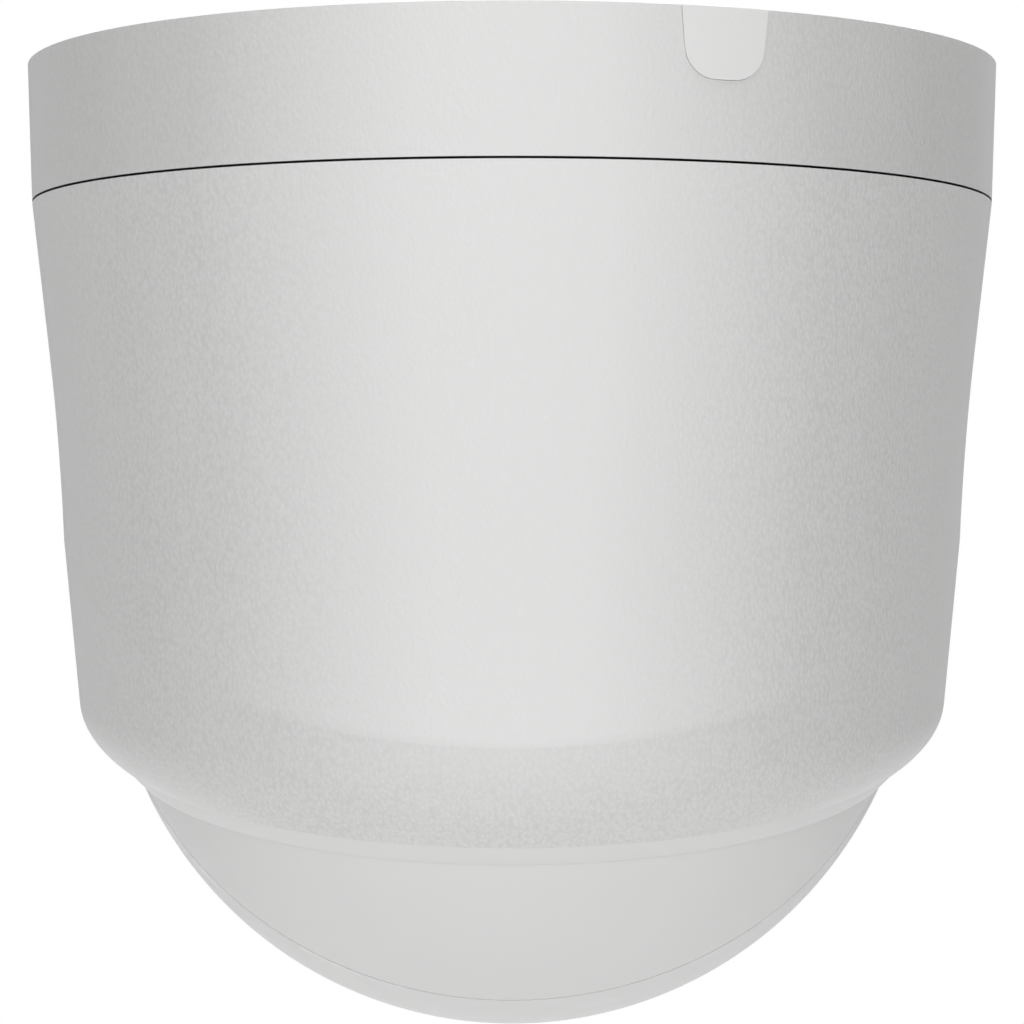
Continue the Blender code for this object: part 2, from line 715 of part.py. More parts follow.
def housing_shell(turret):
    columns = []
    for direction in directions(HOUSING_SEGMENTS):
        outer = housing_outline(direction)
        inner = [(r - HOUSING_WALL, z) for r, z in outer[1:-3]]
        lip = (outer[-1][0] - 0.2, outer[-1][1] + 2.2)
        mid = ((inner[-1][0] + lip[0]) / 2.0, (inner[-1][1] + lip[1]) / 2.0 + 1.0)
        roof_z = HOUSING_TOP_Z - HOUSING_ROOF
        profile = [(ROOF_HOLE_RADIUS, HOUSING_TOP_Z)] + outer + [lip, mid] + inner[::-1]
        profile += [(outer[0][0] - HOUSING_WALL - 0.4, roof_z), (ROOF_HOLE_RADIUS, roof_z)]
        columns.append([at(direction, r, z) for r, z in profile])
    housing = put("housing_shell", grid(columns), "white_grain", (0, 0, 0), turret)
    cut(housing, arch_cutter("cutter_arch"))


def trim_ring(turret):
    """A lip that carries the housing's rounding on, down to the ball."""
    columns = []
    for direction in directions(HOUSING_SEGMENTS):
        top = ring_point(direction, BALL_RADIUS + EDGE_CLEARANCE, EDGE_DROP, EDGE_SLANT)
        foot = ring_point(direction, BALL_RADIUS + TRIM_CLEARANCE, BALL_RING_DROP, BALL_RING_SLANT)
        top_out = (top[0] - 0.15, top[1] - GAP)
        top_in = (top[0] - TRIM_WALL, top[1] - GAP + 0.9)
        middle = ((top_out[0] + foot[0]) / 2.0 + 0.35, (top_out[1] + foot[1]) / 2.0 - 0.35)
        foot_in = (foot[0] - 0.05, foot[1] + 0.8)
        columns.append([at(direction, r, z) for r, z in (top_out, middle, foot, foot_in, top_in)])
    trim = put("trim_ring", grid(columns), "white_smooth", (0, 0, 0), turret)
    cut(trim, arch_cutter("cutter_arch_trim"))


def housing_bezel(turret):
    """The arched sleeve between the housing's front opening and the ball."""
    foot = BALL_Z - 40.0
    outer = arch_outline(ARCH_HALF_WIDTH - GAP, ARCH_TOP_Z - GAP, foot)
    inset = GAP + BEZEL_WALL
    inner = arch_outline(ARCH_HALF_WIDTH - inset, ARCH_TOP_Z - inset, foot)
    sleeve = prism(outer + inner[::-1], 44.0, 125.0, "Y")
    bezel = put("housing_bezel", sleeve, "black_plastic", (0, 0, 0), turret)
    hull = put("bezel_envelope", housing_hull(HOUSING_SEGMENTS, -0.25), None)
    boolean(bezel, hull, "INTERSECT")
    arc = [(r, BALL_Z + z) for r, z in circle(BALL_RADIUS + 0.9, 24, -math.pi / 2, math.pi)]
    arc[0] = (0.0, BALL_Z - BALL_RADIUS - 0.9)
    arc[-1] = (0.0, BALL_Z + BALL_RADIUS + 0.9)
    cut(bezel, put("cutter_ball_room", turned(arc, 48), None))


def split_direction():
    tilt = math.radians(SHELL_SPLIT_TILT_DEG)
    return Vector((0.0, math.cos(tilt), math.sin(tilt)))


def top_cutter(name, height):
    reach = BALL_RADIUS + 10.0
    low = (-reach, -reach, BALL_Z + height)
    return put(name, box(low, (reach, reach, BALL_Z + reach)), None)


def ball_shells(turret):
    forward = split_direction()
    rear = sphere_bowl(-forward, BALL_RADIUS, BALL_WALL, -SHELL_SPLIT_OFFSET + GAP / 2, 11, 48)
    rear_shell = put("ball_rear_shell", rear, "white_smooth", (0, 0, 0), turret)
    cut(rear_shell, top_cutter("cutter_rear_top", REAR_SHELL_TOP))
    front = sphere_bowl(forward, BALL_RADIUS, BALL_WALL, SHELL_SPLIT_OFFSET + GAP / 2, 12, 48)
    front_shell = put("ball_front_shell", front, "white_smooth", (0, 0, 0), turret)
    room = SEAL_WIDTH + 2 * GAP
    room_deg = math.degrees(room / BALL_RADIUS)
    slot = sphere_strip(BALL_RADIUS + 6.0, BALL_RADIUS - 9.0, WINDOW_HALF_WIDTH + room,
                        WINDOW_LOW_DEG - room_deg, WINDOW_HIGH_DEG + room_deg)
    cut(front_shell, put("cutter_slot", slot, None), top_cutter("cutter_front_top", FRONT_SHELL_TOP))


def dome_window(turret):
    shape = sphere_strip(BALL_RADIUS, BALL_RADIUS - BALL_WALL, WINDOW_HALF_WIDTH,
                         WINDOW_LOW_DEG, WINDOW_HIGH_DEG)
    put("dome_window", shape, "clear_dome", (0, 0, 0), turret)


def window_seal(turret):
    """A rubber frame that fills the joint between the clear window and the front shell."""
    step_deg = math.degrees(GAP / BALL_RADIUS)
    wide_deg = math.degrees((SEAL_WIDTH + GAP) / BALL_RADIUS)
    outer = BALL_RADIUS - 0.4
    inner = BALL_RADIUS - BALL_WALL

    def frame_loop(half_width, low_deg, high_deg, radius):
        low, high = math.radians(low_deg), math.radians(high_deg)
        rows, columns = WINDOW_ROWS, WINDOW_COLUMNS
        loop = []
        for j in range(columns):
            loop.append(strip_point(radius, half_width * (2.0 * j / columns - 1.0), low))
        for i in range(rows):
            loop.append(strip_point(radius, half_width, low + (high - low) * i / rows))
        for j in range(columns):
            loop.append(strip_point(radius, half_width * (1.0 - 2.0 * j / columns), high))
        for i in range(rows):
            loop.append(strip_point(radius, -half_width, high + (low - high) * i / rows))
        return loop

    near = (WINDOW_HALF_WIDTH + GAP, WINDOW_LOW_DEG - step_deg, WINDOW_HIGH_DEG + step_deg)
    far = (WINDOW_HALF_WIDTH + GAP + SEAL_WIDTH, WINDOW_LOW_DEG - wide_deg, WINDOW_HIGH_DEG + wide_deg)
    corners = ((near, inner), (near, outer), (far, outer), (far, inner))
    loops = [frame_loop(*outline, radius) for outline, radius in corners]
    put("window_seal", grid(list(map(list, zip(*loops)))), "rubber", (0, 0, 0), turret)


def turret_plate(turret):
    """The dished plate that carries the housing, the yoke and the drives."""
    low = TURRET_TOP - TURRET_THICKNESS
    dish_low = TURRET_DISH_TOP - TURRET_THICKNESS
    bore, dish = 16.0, 60.0
    profile = [(bore, TURRET_DISH_TOP), (bore, dish_low), (dish, dish_low), (dish + 3.0, low),
               (TURRET_RADIUS, low), (TURRET_RADIUS, TURRET_TOP), (dish, TURRET_TOP),
               (dish - 4.0, TURRET_DISH_TOP)]
    plate = put("turret_plate", turned(profile, 36), "cast_aluminium", (0, 0, 0), turret)
    cut(plate, put("cutter_shaft", turned(rod(4.0, -60.0, -40.0), 16, PAN_SHAFT), None))


def pan_hub(turret):
    profile = [(HUB_BORE_RADIUS, -47.7), (34.0, -47.7), (34.0, -44.2), (21.0, -44.2), (21.0, -42.3),
               (HUB_RADIUS, -42.3), (HUB_RADIUS, -30.4), (HUB_BORE_RADIUS, -30.4)]
    put("pan_hub", turned(profile, 24), "steel", (0, 0, 0), turret)
    nut = turned(tube(22.0, HUB_RADIUS + GAP, -33.7, -30.8), 24)
    put("hub_nut", nut, "brass", (0, 0, 0), turret)


def housing_screws(turret):
    """Pan-head screws that come up through the turret plate's rim into the housing's roof."""
    head = rod(4.0, -43.0, TURRET_TOP - TURRET_THICKNESS - GAP)
    for i, (x, y) in enumerate(circle(HOUSING_SCREW_CIRCLE, 4, math.radians(20.0))):
        put(f"housing_screw_{i + 1}", turned(head, 12, (x, y, 0.0)), "steel", (0, 0, 0), turret)


def dome_carrier(turret):
    """The ring under the turret plate that the ball's front shell hangs from."""
    low = BALL_Z + FRONT_SHELL_TOP + GAP
    high = TURRET_DISH_TOP - TURRET_THICKNESS - GAP
    ring = turned(tube(CARRIER_OUTER, CARRIER_INNER, low, high), 28)
    put("dome_carrier", ring, "black_plastic", (0, 0, 0), turret)


def motor(name, centre, axis, radius, low, high, turret):
    """A can motor with a stepped front boss. It points along +Z, or along -X from its face at low."""
    boss, boss_radius = 2.5, 4.0
    if axis == "Z":
        step = high - boss
        profile = [(0.0, low), (radius, low), (radius, step), (boss_radius, step), (boss_radius, high),
                   (0.0, high)]
    else:
        step = low + boss
        profile = [(0.0, low), (boss_radius, low), (boss_radius, step), (radius, step), (radius, high),
                   (0.0, high)]
    put(name, turned(profile, 20, centre, axis), "steel", (0, 0, 0), turret)


def pinion(name, teeth, phase, low, high, shaft_low, shaft_high, centre, axis, parent):
    """A small gear on its shaft, built along Z and then laid along X if its axis is X."""
    shaft_radius = 1.6
    shape = gear_ring(teeth, phase, shaft_radius, low, high)
    on_bore = {vertex for vertex in shape.verts if abs(vertex.co.xy.length - shaft_radius) < 1e-3}
    bore = [face for face in shape.faces if on_bore.issuperset(face.verts)]
    bmesh.ops.delete(shape, geom=bore, context="FACES")
    for loop_z, end_z in ((low, shaft_low), (high, shaft_high)):
        ring = [vertex for vertex in on_bore if abs(vertex.co.z - loop_z) < 1e-3]
        ring.sort(key=lambda v: math.atan2(v.co.y, v.co.x))
        if abs(end_z - loop_z) < 1e-6:
            shape.faces.new(ring)
            continue
        ends = [shape.verts.new((v.co.x, v.co.y, end_z)) for v in ring]
        for j in range(len(ring)):
            k = (j + 1) % len(ring)
            shape.faces.new((ring[j], ring[k], ends[k], ends[j]))
        shape.faces.new(ends)
    turn = Matrix.Identity(4) if axis == "Z" else Matrix.Rotation(math.pi / 2, 4, "Y")
    bmesh.ops.transform(shape, matrix=Matrix.Translation(centre) @ turn, verts=shape.verts)
    put(name, shape, "brass", parent.matrix_world.translation / MM, parent)


def pan_drive(turret, pinion_joint):
    motor("pan_motor", PAN_SHAFT, "Z", 11.0, -80.0, -51.3, turret)
    phase = math.pi / 2 + math.pi / PAN_PINION_TEETH
    pinion("pan_pinion", PAN_PINION_TEETH, phase, PAN_GEAR_BOTTOM + 0.2, PAN_GEAR_TOP - 0.2, -51.0,
           PAN_GEAR_TOP - 0.2, PAN_SHAFT, "Z", pinion_joint)


def yoke_arms(turret):
    """Two plates that hang from the turret plate and carry the tilt bearings."""
    top = TURRET_DISH_TOP - TURRET_THICKNESS - GAP - BALL_Z
    outline = [(-ARM_HALF_WIDTH - 8.0, top), (-ARM_HALF_WIDTH, top - 16.0)]
    outline += circle(ARM_HALF_WIDTH, 10, math.pi, math.pi)
    outline += [(ARM_HALF_WIDTH, top - 16.0), (ARM_HALF_WIDTH + 8.0, top)]
    for side, name in ((-1.0, "left"), (1.0, "right")):
        low, high = sorted((side * ARM_INNER_X, side * (ARM_INNER_X + ARM_THICKNESS)))
        plate = prism(outline, low, high, "X", BALL_CENTRE)
        arm = put(f"yoke_arm_{name}", plate, "cast_aluminium", (0, 0, 0), turret)
        seat = turned(rod(TILT_BEARING_RADIUS + GAP, low - 5.0, high + 5.0), 24, BALL_CENTRE, "X")
        cut(arm, put(f"cutter_seat_{name}", seat, None))
        if side > 0:
            hole = turned(rod(4.0, low - 5.0, high + 5.0), 16, TILT_SHAFT, "X")
            cut(arm, put("cutter_tilt_shaft", hole, None))
        bearing = tube(TILT_BEARING_RADIUS, TRUNNION_RADIUS + BEARING_FIT, low, high)
        put(f"tilt_bearing_{name}", turned(bearing, 24, BALL_CENTRE, "X"), "steel", (0, 0, 0), turret)


def tilt_drive(turret, pinion_joint):
    face = ARM_INNER_X + ARM_THICKNESS + GAP
    motor("tilt_motor", TILT_SHAFT, "X", 10.0, face, face + 19.0, turret)
    low, high = TILT_GEAR_X + 0.4, TILT_GEAR_X + TILT_GEAR_WIDTH - 0.4
    phase = math.pi / TILT_PINION_TEETH
    pinion("tilt_pinion", TILT_PINION_TEETH, phase, low, high, low, face - GAP, TILT_SHAFT, "X",
           pinion_joint)


def main_board(turret):
    plate = box((-34.0, -93.0, -86.0), (34.0, -93.0 + BOARD_THICKNESS, -44.0))
    board = put("main_board", plate, "circuit_board", (0, 0, 0), turret)
    chips = ((-20.0, -72.0, 9.0), (6.0, -66.0, 7.0), (22.0, -78.0, 4.5))
    for i, (x, z, half) in enumerate(chips):
        chip = box((x - half, -91.9, z - half), (x + half, -90.0, z + half))
        boolean(board, put(f"chip_{i + 1}", chip, None), "UNION")
    bracket = box((-10.0, -96.5, -60.0), (10.0, -93.0 - GAP, TURRET_TOP - TURRET_THICKNESS - GAP))
    put("board_bracket", bracket, "cast_aluminium", (0, 0, 0), turret)


def fan(turret, rotor_joint):
    half, low, high = 12.5, -3.5, 3.5
    x, y, z = FAN_CENTRE
    block = box((x - half, y - half, z + low), (x + half, y + half, z + high))
    frame = put("fan_frame", block, "black_plastic", (0, 0, 0), turret)
    cut(frame, put("cutter_fan", turned(rod(11.5, -10.0, 2.4), 20, FAN_CENTRE), None))
    cut(frame, put("cutter_fan_inlet", turned(tube(10.5, 5.0, 0.0, 10.0), 19, FAN_CENTRE), None))
    spoke = box((x - 11.7, y - 1.1, z + 2.7), (x + 11.7, y + 1.1, z + 3.2))
    boolean(frame, put("spoke", spoke, None), "UNION")
    hub = turned(rod(4.5, low + 0.5, 2.0), 14, FAN_CENTRE)
    rotor = put("fan_rotor", hub, "black_plastic", FAN_CENTRE, rotor_joint)
    for i in range(FAN_BLADES):
        blade = box((3.5, -0.5, -2.6), (10.8, 0.5, 1.6))
        pitch = math.radians(BLADE_PITCH_DEG)
        bmesh.ops.rotate(blade, verts=blade.verts, matrix=Matrix.Rotation(pitch, 3, "X"))
        bmesh.ops.rotate(blade, verts=blade.verts, matrix=Matrix.Rotation(math.tau * i / FAN_BLADES, 3, "Z"))
        bmesh.ops.translate(blade, verts=blade.verts, vec=FAN_CENTRE)
        boolean(rotor, put(f"blade_{i + 1}", blade, None), "UNION")


# ----------------------------------------------------------------------------------------- tilting head


def camera_frame(head):
    """The open-fronted box that holds the lens block and the sensor."""
    wide, tall = FRAME_HALF_WIDTH, FRAME_HALF_HEIGHT
    low = BALL_CENTRE + Vector((-wide, FRAME_REAR, -tall))
    high = BALL_CENTRE + Vector((wide, FRAME_FRONT, tall))
    frame = put("camera_frame", box(low, high), "black_plastic", BALL_CENTRE, head)
    wall = Vector((FRAME_WALL, FRAME_WALL, FRAME_WALL))
    room = box(low + wall, high - wall + Vector((0.0, 10.0, 0.0)))
    cut(frame, put("cutter_frame_room", room, None))


def trunnions(head):
    start = FRAME_HALF_WIDTH + GAP
    end = ARM_INNER_X + ARM_THICKNESS + 2.0
    for side, name in ((-1.0, "left"), (1.0, "right")):
        profile = [(0.0, start), (9.0, start), (9.0, start + 2.2), (TRUNNION_RADIUS, start + 2.2),
                   (TRUNNION_RADIUS, end), (0.0, end)]
        shape = turned([(r, side * h) for r, h in profile], 24, BALL_CENTRE, "X")
        put(f"trunnion_{name}", shape, "steel", BALL_CENTRE, head)


def tilt_gear(head):
    high = TILT_GEAR_X + TILT_GEAR_WIDTH
    shape = gear_ring(TILT_GEAR_TEETH, math.pi, TRUNNION_RADIUS + GAP, TILT_GEAR_X, high)
    place = Matrix.Translation(BALL_CENTRE) @ Matrix.Rotation(math.pi / 2, 4, "Y")
    bmesh.ops.transform(shape, matrix=place, verts=shape.verts)
    put("tilt_gear", shape, "gear_plastic", BALL_CENTRE, head)


def lens_block(head):
    flange = FRAME_FRONT + GAP
    barrel = [
        (STOP_RADIUS, BARREL_REAR), (BARREL_RADIUS, BARREL_REAR), (BARREL_RADIUS, flange),
        (FLANGE_RADIUS, flange), (FLANGE_RADIUS, flange + 3.0), (BARREL_RADIUS, flange + 3.0),
        (BARREL_RADIUS, BARREL_FRONT),
        (LENS_SEAT_RADIUS, BARREL_FRONT), (LENS_SEAT_RADIUS, LENS_SEAT), (17.5, LENS_SEAT),
        (STOP_RADIUS, 54.0),
        (STOP_RADIUS, ROD_FRONT), (BARREL_BORE, ROD_FRONT), (BARREL_BORE, BARREL_REAR + BARREL_END),
        (STOP_RADIUS, BARREL_REAR + BARREL_END),
    ]
    put("lens_barrel", turned(barrel, 20, BALL_CENTRE, "Y"), "black_plastic", BALL_CENTRE, head)
    glass = LENS_SEAT_RADIUS - 0.4
    back = LENS_SEAT + 2 * GAP
    crown = [(glass * i / 4, LENS_TIP - LENS_CROWN * (i / 4) ** 2) for i in range(4, 0, -1)]
    lens = turned([(0.0, back), (glass, back)] + crown + [(0.0, LENS_TIP)], 20, BALL_CENTRE, "Y")
    put("front_lens", lens, "lens_glass", BALL_CENTRE, head)
    wall = 1.2
    bore = BARREL_RADIUS + GAP
    shroud = [(bore, 45.0), (bore + wall, 45.0), (BARREL_RADIUS + 2.0, 61.0),
              (SHROUD_RADIUS, SHROUD_FRONT - 2.0), (SHROUD_RADIUS, SHROUD_FRONT),
              (SHROUD_RADIUS - wall, SHROUD_FRONT), (bore, LENS_TIP)]
    put("lens_shroud", turned(shroud, 24, BALL_CENTRE, "Y"), "black_plastic", BALL_CENTRE, head)
    for side, name in ((1.0, "upper"), (-1.0, "lower")):
        centre = BALL_CENTRE + Vector((0.0, 0.0, side * ROD_RISE))
        pin = rod(ROD_RADIUS, BARREL_REAR + BARREL_END + 0.1, ROD_FRONT - 0.1)
        put(f"guide_rod_{name}", turned(pin, 8, centre, "Y"), "steel", BALL_CENTRE, head)


def lens_group(name, low, high, joint):
    """A lens in a carrier disc that runs on the two guide rods."""
    bulge = 2.0
    rim, glass = CARRIER_DISC_RADIUS, GROUP_LENS_RADIUS
    shoulder = (0.55 * glass, 0.6 * bulge)
    profile = [(0.0, low - bulge), (shoulder[0], low - shoulder[1]), (glass, low), (rim, low), (rim, high),
               (glass, high), (shoulder[0], high + shoulder[1]), (0.0, high + bulge)]
    group = put(name, turned(profile, 18, BALL_CENTRE, "Y"), "lens_glass", BALL_CENTRE, joint)
    for side, rod_name in ((1.0, "upper"), (-1.0, "lower")):
        centre = BALL_CENTRE + Vector((0.0, 0.0, side * ROD_RISE))
        hole = turned(rod(ROD_RADIUS + 0.25, low - 6.0, high + 6.0), 8, centre, "Y")
        cut(group, put(f"cutter_{name}_{rod_name}", hole, None))


def sensor_pieces(head, filter_joint):
    centre = BALL_CENTRE
    board = box(centre + Vector((-21.0, -33.0, -19.0)), centre + Vector((21.0, -31.4, 19.0)))
    put("sensor_board", board, "circuit_board", BALL_CENTRE, head)
    sensor = box(centre + Vector((-6.5, -31.3, -5.0)), centre + Vector((6.5, -29.4, 5.0)))
    put("image_sensor", sensor, "lens_glass", BALL_CENTRE, head)
    slide = box(centre + Vector((-21.0, -26.0, -8.0)), centre + Vector((8.0, -24.0, 8.0)))
    put("ir_cut_filter", slide, "filter_glass", BALL_CENTRE, filter_joint)


def build():
    clear_scene()
    MATERIALS.update(make_materials())
    turret = joint_empty("pan_axis", Vector((0.0, 0.0, 0.0)))
    cage = joint_empty("bearing_cage_axis", Vector((0.0, 0.0, 0.0)))
    plug_joint = joint_empty("plug_axis", Vector((0.0, 0.0, 0.0)))
    pan_pinion_joint = joint_empty("pan_pinion_axis", PAN_SHAFT, turret)
    tilt_pinion_joint = joint_empty("tilt_pinion_axis", TILT_SHAFT, turret)
    fan_joint = joint_empty("fan_axis", FAN_CENTRE, turret)
    head = joint_empty("tilt_axis", BALL_CENTRE, turret)
    zoom_joint = joint_empty("zoom_axis", BALL_CENTRE, head)
    focus_joint = joint_empty("focus_axis", BALL_CENTRE, head)
    filter_joint = joint_empty("filter_axis", BALL_CENTRE, head)

    mounting_plate()
    plate_screws()
    base_gasket()
    base_cover()
    conduit_plug(plug_joint)
    base_chassis()
    base_electronics()
    pan_ring_gear()
    pan_bearing(turret, cage)
    slip_ring(turret)

    turret_plate(turret)
    pan_hub(turret)
    housing_screws(turret)
    housing_shell(turret)
    housing_bezel(turret)
    trim_ring(turret)
    dome_carrier(turret)
    ball_shells(turret)
    dome_window(turret)
    window_seal(turret)
    pan_drive(turret, pan_pinion_joint)
    yoke_arms(turret)
    tilt_drive(turret, tilt_pinion_joint)
    main_board(turret)
    fan(turret, fan_joint)

    camera_frame(head)
    trunnions(head)
    tilt_gear(head)
    lens_block(head)
    lens_group("zoom_lens_group", 12.0, 18.0, zoom_joint)
    lens_group("focus_lens_group", -12.0, -7.0, focus_joint)
    sensor_pieces(head, filter_joint)


MATERIALS = {}
build()
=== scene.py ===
import json
from math import acos, asin, atan2, ceil, cos, dist, hypot, pi, radians, sin, sqrt, tan, tau

import bmesh
import bpy
import numpy as np
from mathutils import Matrix, Vector


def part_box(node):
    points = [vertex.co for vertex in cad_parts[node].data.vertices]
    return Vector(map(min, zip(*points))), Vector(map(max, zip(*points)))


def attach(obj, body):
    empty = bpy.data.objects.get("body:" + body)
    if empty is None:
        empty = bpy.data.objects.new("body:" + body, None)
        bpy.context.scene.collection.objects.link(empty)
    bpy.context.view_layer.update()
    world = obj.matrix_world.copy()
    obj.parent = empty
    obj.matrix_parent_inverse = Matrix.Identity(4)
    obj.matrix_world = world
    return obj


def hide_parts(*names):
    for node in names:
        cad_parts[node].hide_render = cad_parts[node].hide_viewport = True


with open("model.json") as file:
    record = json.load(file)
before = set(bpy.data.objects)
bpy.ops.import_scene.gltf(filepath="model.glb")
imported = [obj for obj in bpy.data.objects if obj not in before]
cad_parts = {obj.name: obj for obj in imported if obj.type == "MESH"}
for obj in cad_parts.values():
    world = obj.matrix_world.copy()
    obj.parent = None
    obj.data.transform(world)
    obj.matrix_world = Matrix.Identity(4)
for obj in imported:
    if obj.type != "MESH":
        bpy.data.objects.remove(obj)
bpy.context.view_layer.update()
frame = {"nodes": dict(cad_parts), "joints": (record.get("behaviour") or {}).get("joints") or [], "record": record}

# Lengths in the shape functions are millimetres. The CAD says how large and where each piece is.
MM = 0.001
GAP = 0.3
WELD_DISTANCE = 2e-4
LEAST_EDGE = 1e-5
TINY = 1e-6
FLAT_TOLERANCE = 0.01

# Edges sharper than these angles in degrees stay sharp
SHELL_SMOOTH = 50.0
PART_SMOOTH = 40.0
FLAT_SMOOTH = 30.0
# How much of a rounded edge's size its middle point stands back
ROUND_SHARE = 0.3

# Rounds of the searches for points that depend on their own radius
FIT_ROUNDS = 6
CREASE_ROUNDS = 12
ROUNDING_ROUNDS = 8
MEAN_RADIUS = 108.0

FILLET_RADIUS = 0.25
FILLET_STEPS = 2
NEARLY_STRAIGHT = radians(155.0)


def node_box(node):
    low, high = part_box(node)
    return low / MM, high / MM


RING_LOW, RING_HIGH = node_box("base_cover")
RING_TOP_RADIUS = RING_HIGH.x
RING_HEIGHT = -RING_LOW.z
RING_BOTTOM_RADIUS = RING_TOP_RADIUS - 1.06
COVER_WALL = 3.5
COVER_FLOOR = 3.0
COVER_HOLE_RADIUS = 60.0

HOUSING_TOP_Z = node_box("housing_shell")[1].z
HOUSING_TOP_RADIUS = node_box("housing_shell")[1].x
TILT_JOINT = next(joint for joint in frame["joints"] if joint["name"] == "tilt")
BALL_CENTRE = Vector(TILT_JOINT["pos_m"]) / MM
BALL_Z = BALL_CENTRE.z
BALL_RADIUS = BALL_Z - node_box("dome_window")[0].z
BALL_WALL = 2.5

# The housing's surface: cone, slanted crease, rounding and slanted lower edge
HOUSING_WALL = 3.0
HOUSING_ROOF = 3.0
ROOF_HOLE_RADIUS = 62.0
FLAT_RADII = (100.0, 80.0)
CONE_TAPER = 0.115
CREASE_SLANT = 0.47
CREASE_Z = -110.25
SWELL_HEIGHT = 46.6
SWELL = 1.7
WALL_LEAN = 0.097
REAR_WALL_LEAN = 0.3
ROUNDING_SLANT = 0.075
ROUNDING_Z = BALL_Z - 19.28
ROUNDING_LEAST_HEIGHT = 9.0
EDGE_SLANT = 0.213
EDGE_DROP = 28.8
EDGE_CLEARANCE = 3.9
BALL_RING_SLANT = 0.2004
BALL_RING_DROP = 35.5
TRIM_CLEARANCE = 0.5
TRIM_TUCK = 0.4
TRIM_STEP = 0.15

ARCH_HALF_WIDTH = 56.0
ARCH_MIDDLE_Z = BALL_Z + 10.0
BEZEL_WALL = 2.4
BEZEL_LIP = 0.7
BEZEL_SET_BACK = 0.25
BEZEL_BALL_GAP = 0.9
BEZEL_FOOT_Z = BALL_Z - 8.9
WINDOW_HALF_WIDTH = node_box("dome_window")[1].x
WINDOW_LOW = radians(-96.0)
WINDOW_HIGH = radians(48.0)
WINDOW_CORNER = 7.0
SEAL_WIDTH = 1.6
SPLIT_TILT = radians(-26.0)
SPLIT_OFFSET = -2.0
FRONT_SHELL_TOP = 78.0
REAR_SHELL_TOP = 45.0
SHELL_LIP = 0.05
SHELL_JOINT = 0.5
RIM_STEP = radians(1.5)

PLUG_AZIMUTH = radians(22.9)
PLUG_TOP_WIDTH = 20.6
PLUG_LOW_WIDTH = 19.2
PLUG_HEIGHT = 15.6
PLUG_CORNER = 7.4
PLUG_PROUD = 0.3
NOTCH_GAP = 0.05

PLATE_RADIUS = node_box("mounting_plate")[1].x
PLATE_THICKNESS = 3.0
PLATE_LIP = 0.5
CABLE_HOLE_RADIUS = 14.0
CABLE_HOLE_Y = -48.0
SLOT_RADIUS = 2.6
SLOT_LENGTH = 14.0
SLOT_CIRCLE = 70.0
SCREW_COUNT = 3
SCREW_CIRCLE = 92.0
SCREW_AZIMUTH = radians(-26.3)
SCREW_TOP_Z = -0.2
RECESS_RADIUS = 1.5
RECESS_LOBES = 6
RECESS_LOBE_DEPTH = 0.22
RECESS_DEPTH = 1.4
RECESS_EDGE = 0.15
THREADS = 12
THREAD_PITCH = 0.74

# Lens barrel and hood: radii, and places along the lens axis from the tilt axis
BARREL_RADIUS = 22.0
BARREL_BORE = 19.5
BARREL_REAR = -20.0
BARREL_END = 64.0
MOUTH_RADIUS = 13.0
FLANGE_RADIUS = 24.5
FLANGE_AT = 30.0 + GAP
RIBS = (36.0, 43.0)
GLASS_RADIUS = 19.8
GLASS_TIP = 62.5
GLASS_CROWN = 3.5
HOOD_START = 45.0
HOOD_WALL = 1.2
HOOD_THROAT = 22.3
HOOD_MOUTH = 38.8
HOOD_END = 83.0
HOOD_STEPS = 7


# --- meshes ---


def sheet(shape, points):
    """Faces over a grid of points: rows by columns by xyz."""
    rows = [[shape.verts.new(point) for point in row] for row in points]
    for upper, lower in zip(rows, rows[1:]):
        for j in range(len(upper) - 1):
            shape.faces.new((upper[j], lower[j], lower[j + 1], upper[j + 1]))


def add_object(name, data):
    item = bpy.data.objects.new(name, data)
    bpy.context.scene.collection.objects.link(item)
    return item


def close_tip(shape, tip, ring):
    """A fan of faces from a point to a ring of points."""
    tip = shape.verts.new(tip)
    ring = [shape.verts.new(point) for point in ring]
    for i, vertex in enumerate(ring):
        shape.faces.new((tip, vertex, ring[(i + 1) % len(ring)]))


def stepped(here, after, count):
    """Even steps along a line, without its last point."""
    return [(here[0] + (after[0] - here[0]) * k / count, here[1] + (after[1] - here[1]) * k / count)
            for k in range(count)]


def finish_piece(name, shape, look, body, node, smooth_angle=35.0):
    """Turns a bmesh in millimetres into a piece that rides on a body and stands for a CAD node."""
    bmesh.ops.remove_doubles(shape, verts=shape.verts, dist=WELD_DISTANCE)
    bmesh.ops.dissolve_degenerate(shape, edges=shape.edges, dist=LEAST_EDGE)
    bmesh.ops.recalc_face_normals(shape, faces=shape.faces)
    for vertex in shape.verts:
        vertex.co *= MM
    mesh = bpy.data.meshes.new(name)
    shape.to_mesh(mesh)
    shape.free()
    mesh.shade_smooth()
    mesh.set_sharp_from_angle(angle=radians(smooth_angle))
    mesh.materials.append(LOOKS[look])
    item = add_object(name, mesh)
    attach(item, body)
    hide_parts(node)
    return item


def dark_seam_face(item, z):
    """Paints the flat mating face at a height in dark plastic, so the joint between the pieces shows a line of
    painted shade.
    """
    item.data.materials.append(LOOKS["black_plastic"])
    for face in item.data.polygons:
        if abs(face.center.z / MM - z) < FLAT_TOLERANCE:
            face.material_index = 1


def round_edges(item, width, segments, angle):
    """Rounds the edges of a piece that are sharper than an angle."""
    bevel = item.modifiers.new("edges", "BEVEL")
    bevel.width = width * MM
    bevel.segments = segments
    bevel.limit_method = "ANGLE"
    bevel.angle_limit = radians(angle)
    return bevel


def soften(item, width):
    """Rounds the hard edges of a thin moulded shell."""
    bevel = round_edges(item, width, 3, SHELL_SMOOTH)
    bevel.use_clamp_overlap = False
    bevel.harden_normals = True
    bevel.miter_outer = "MITER_ARC"


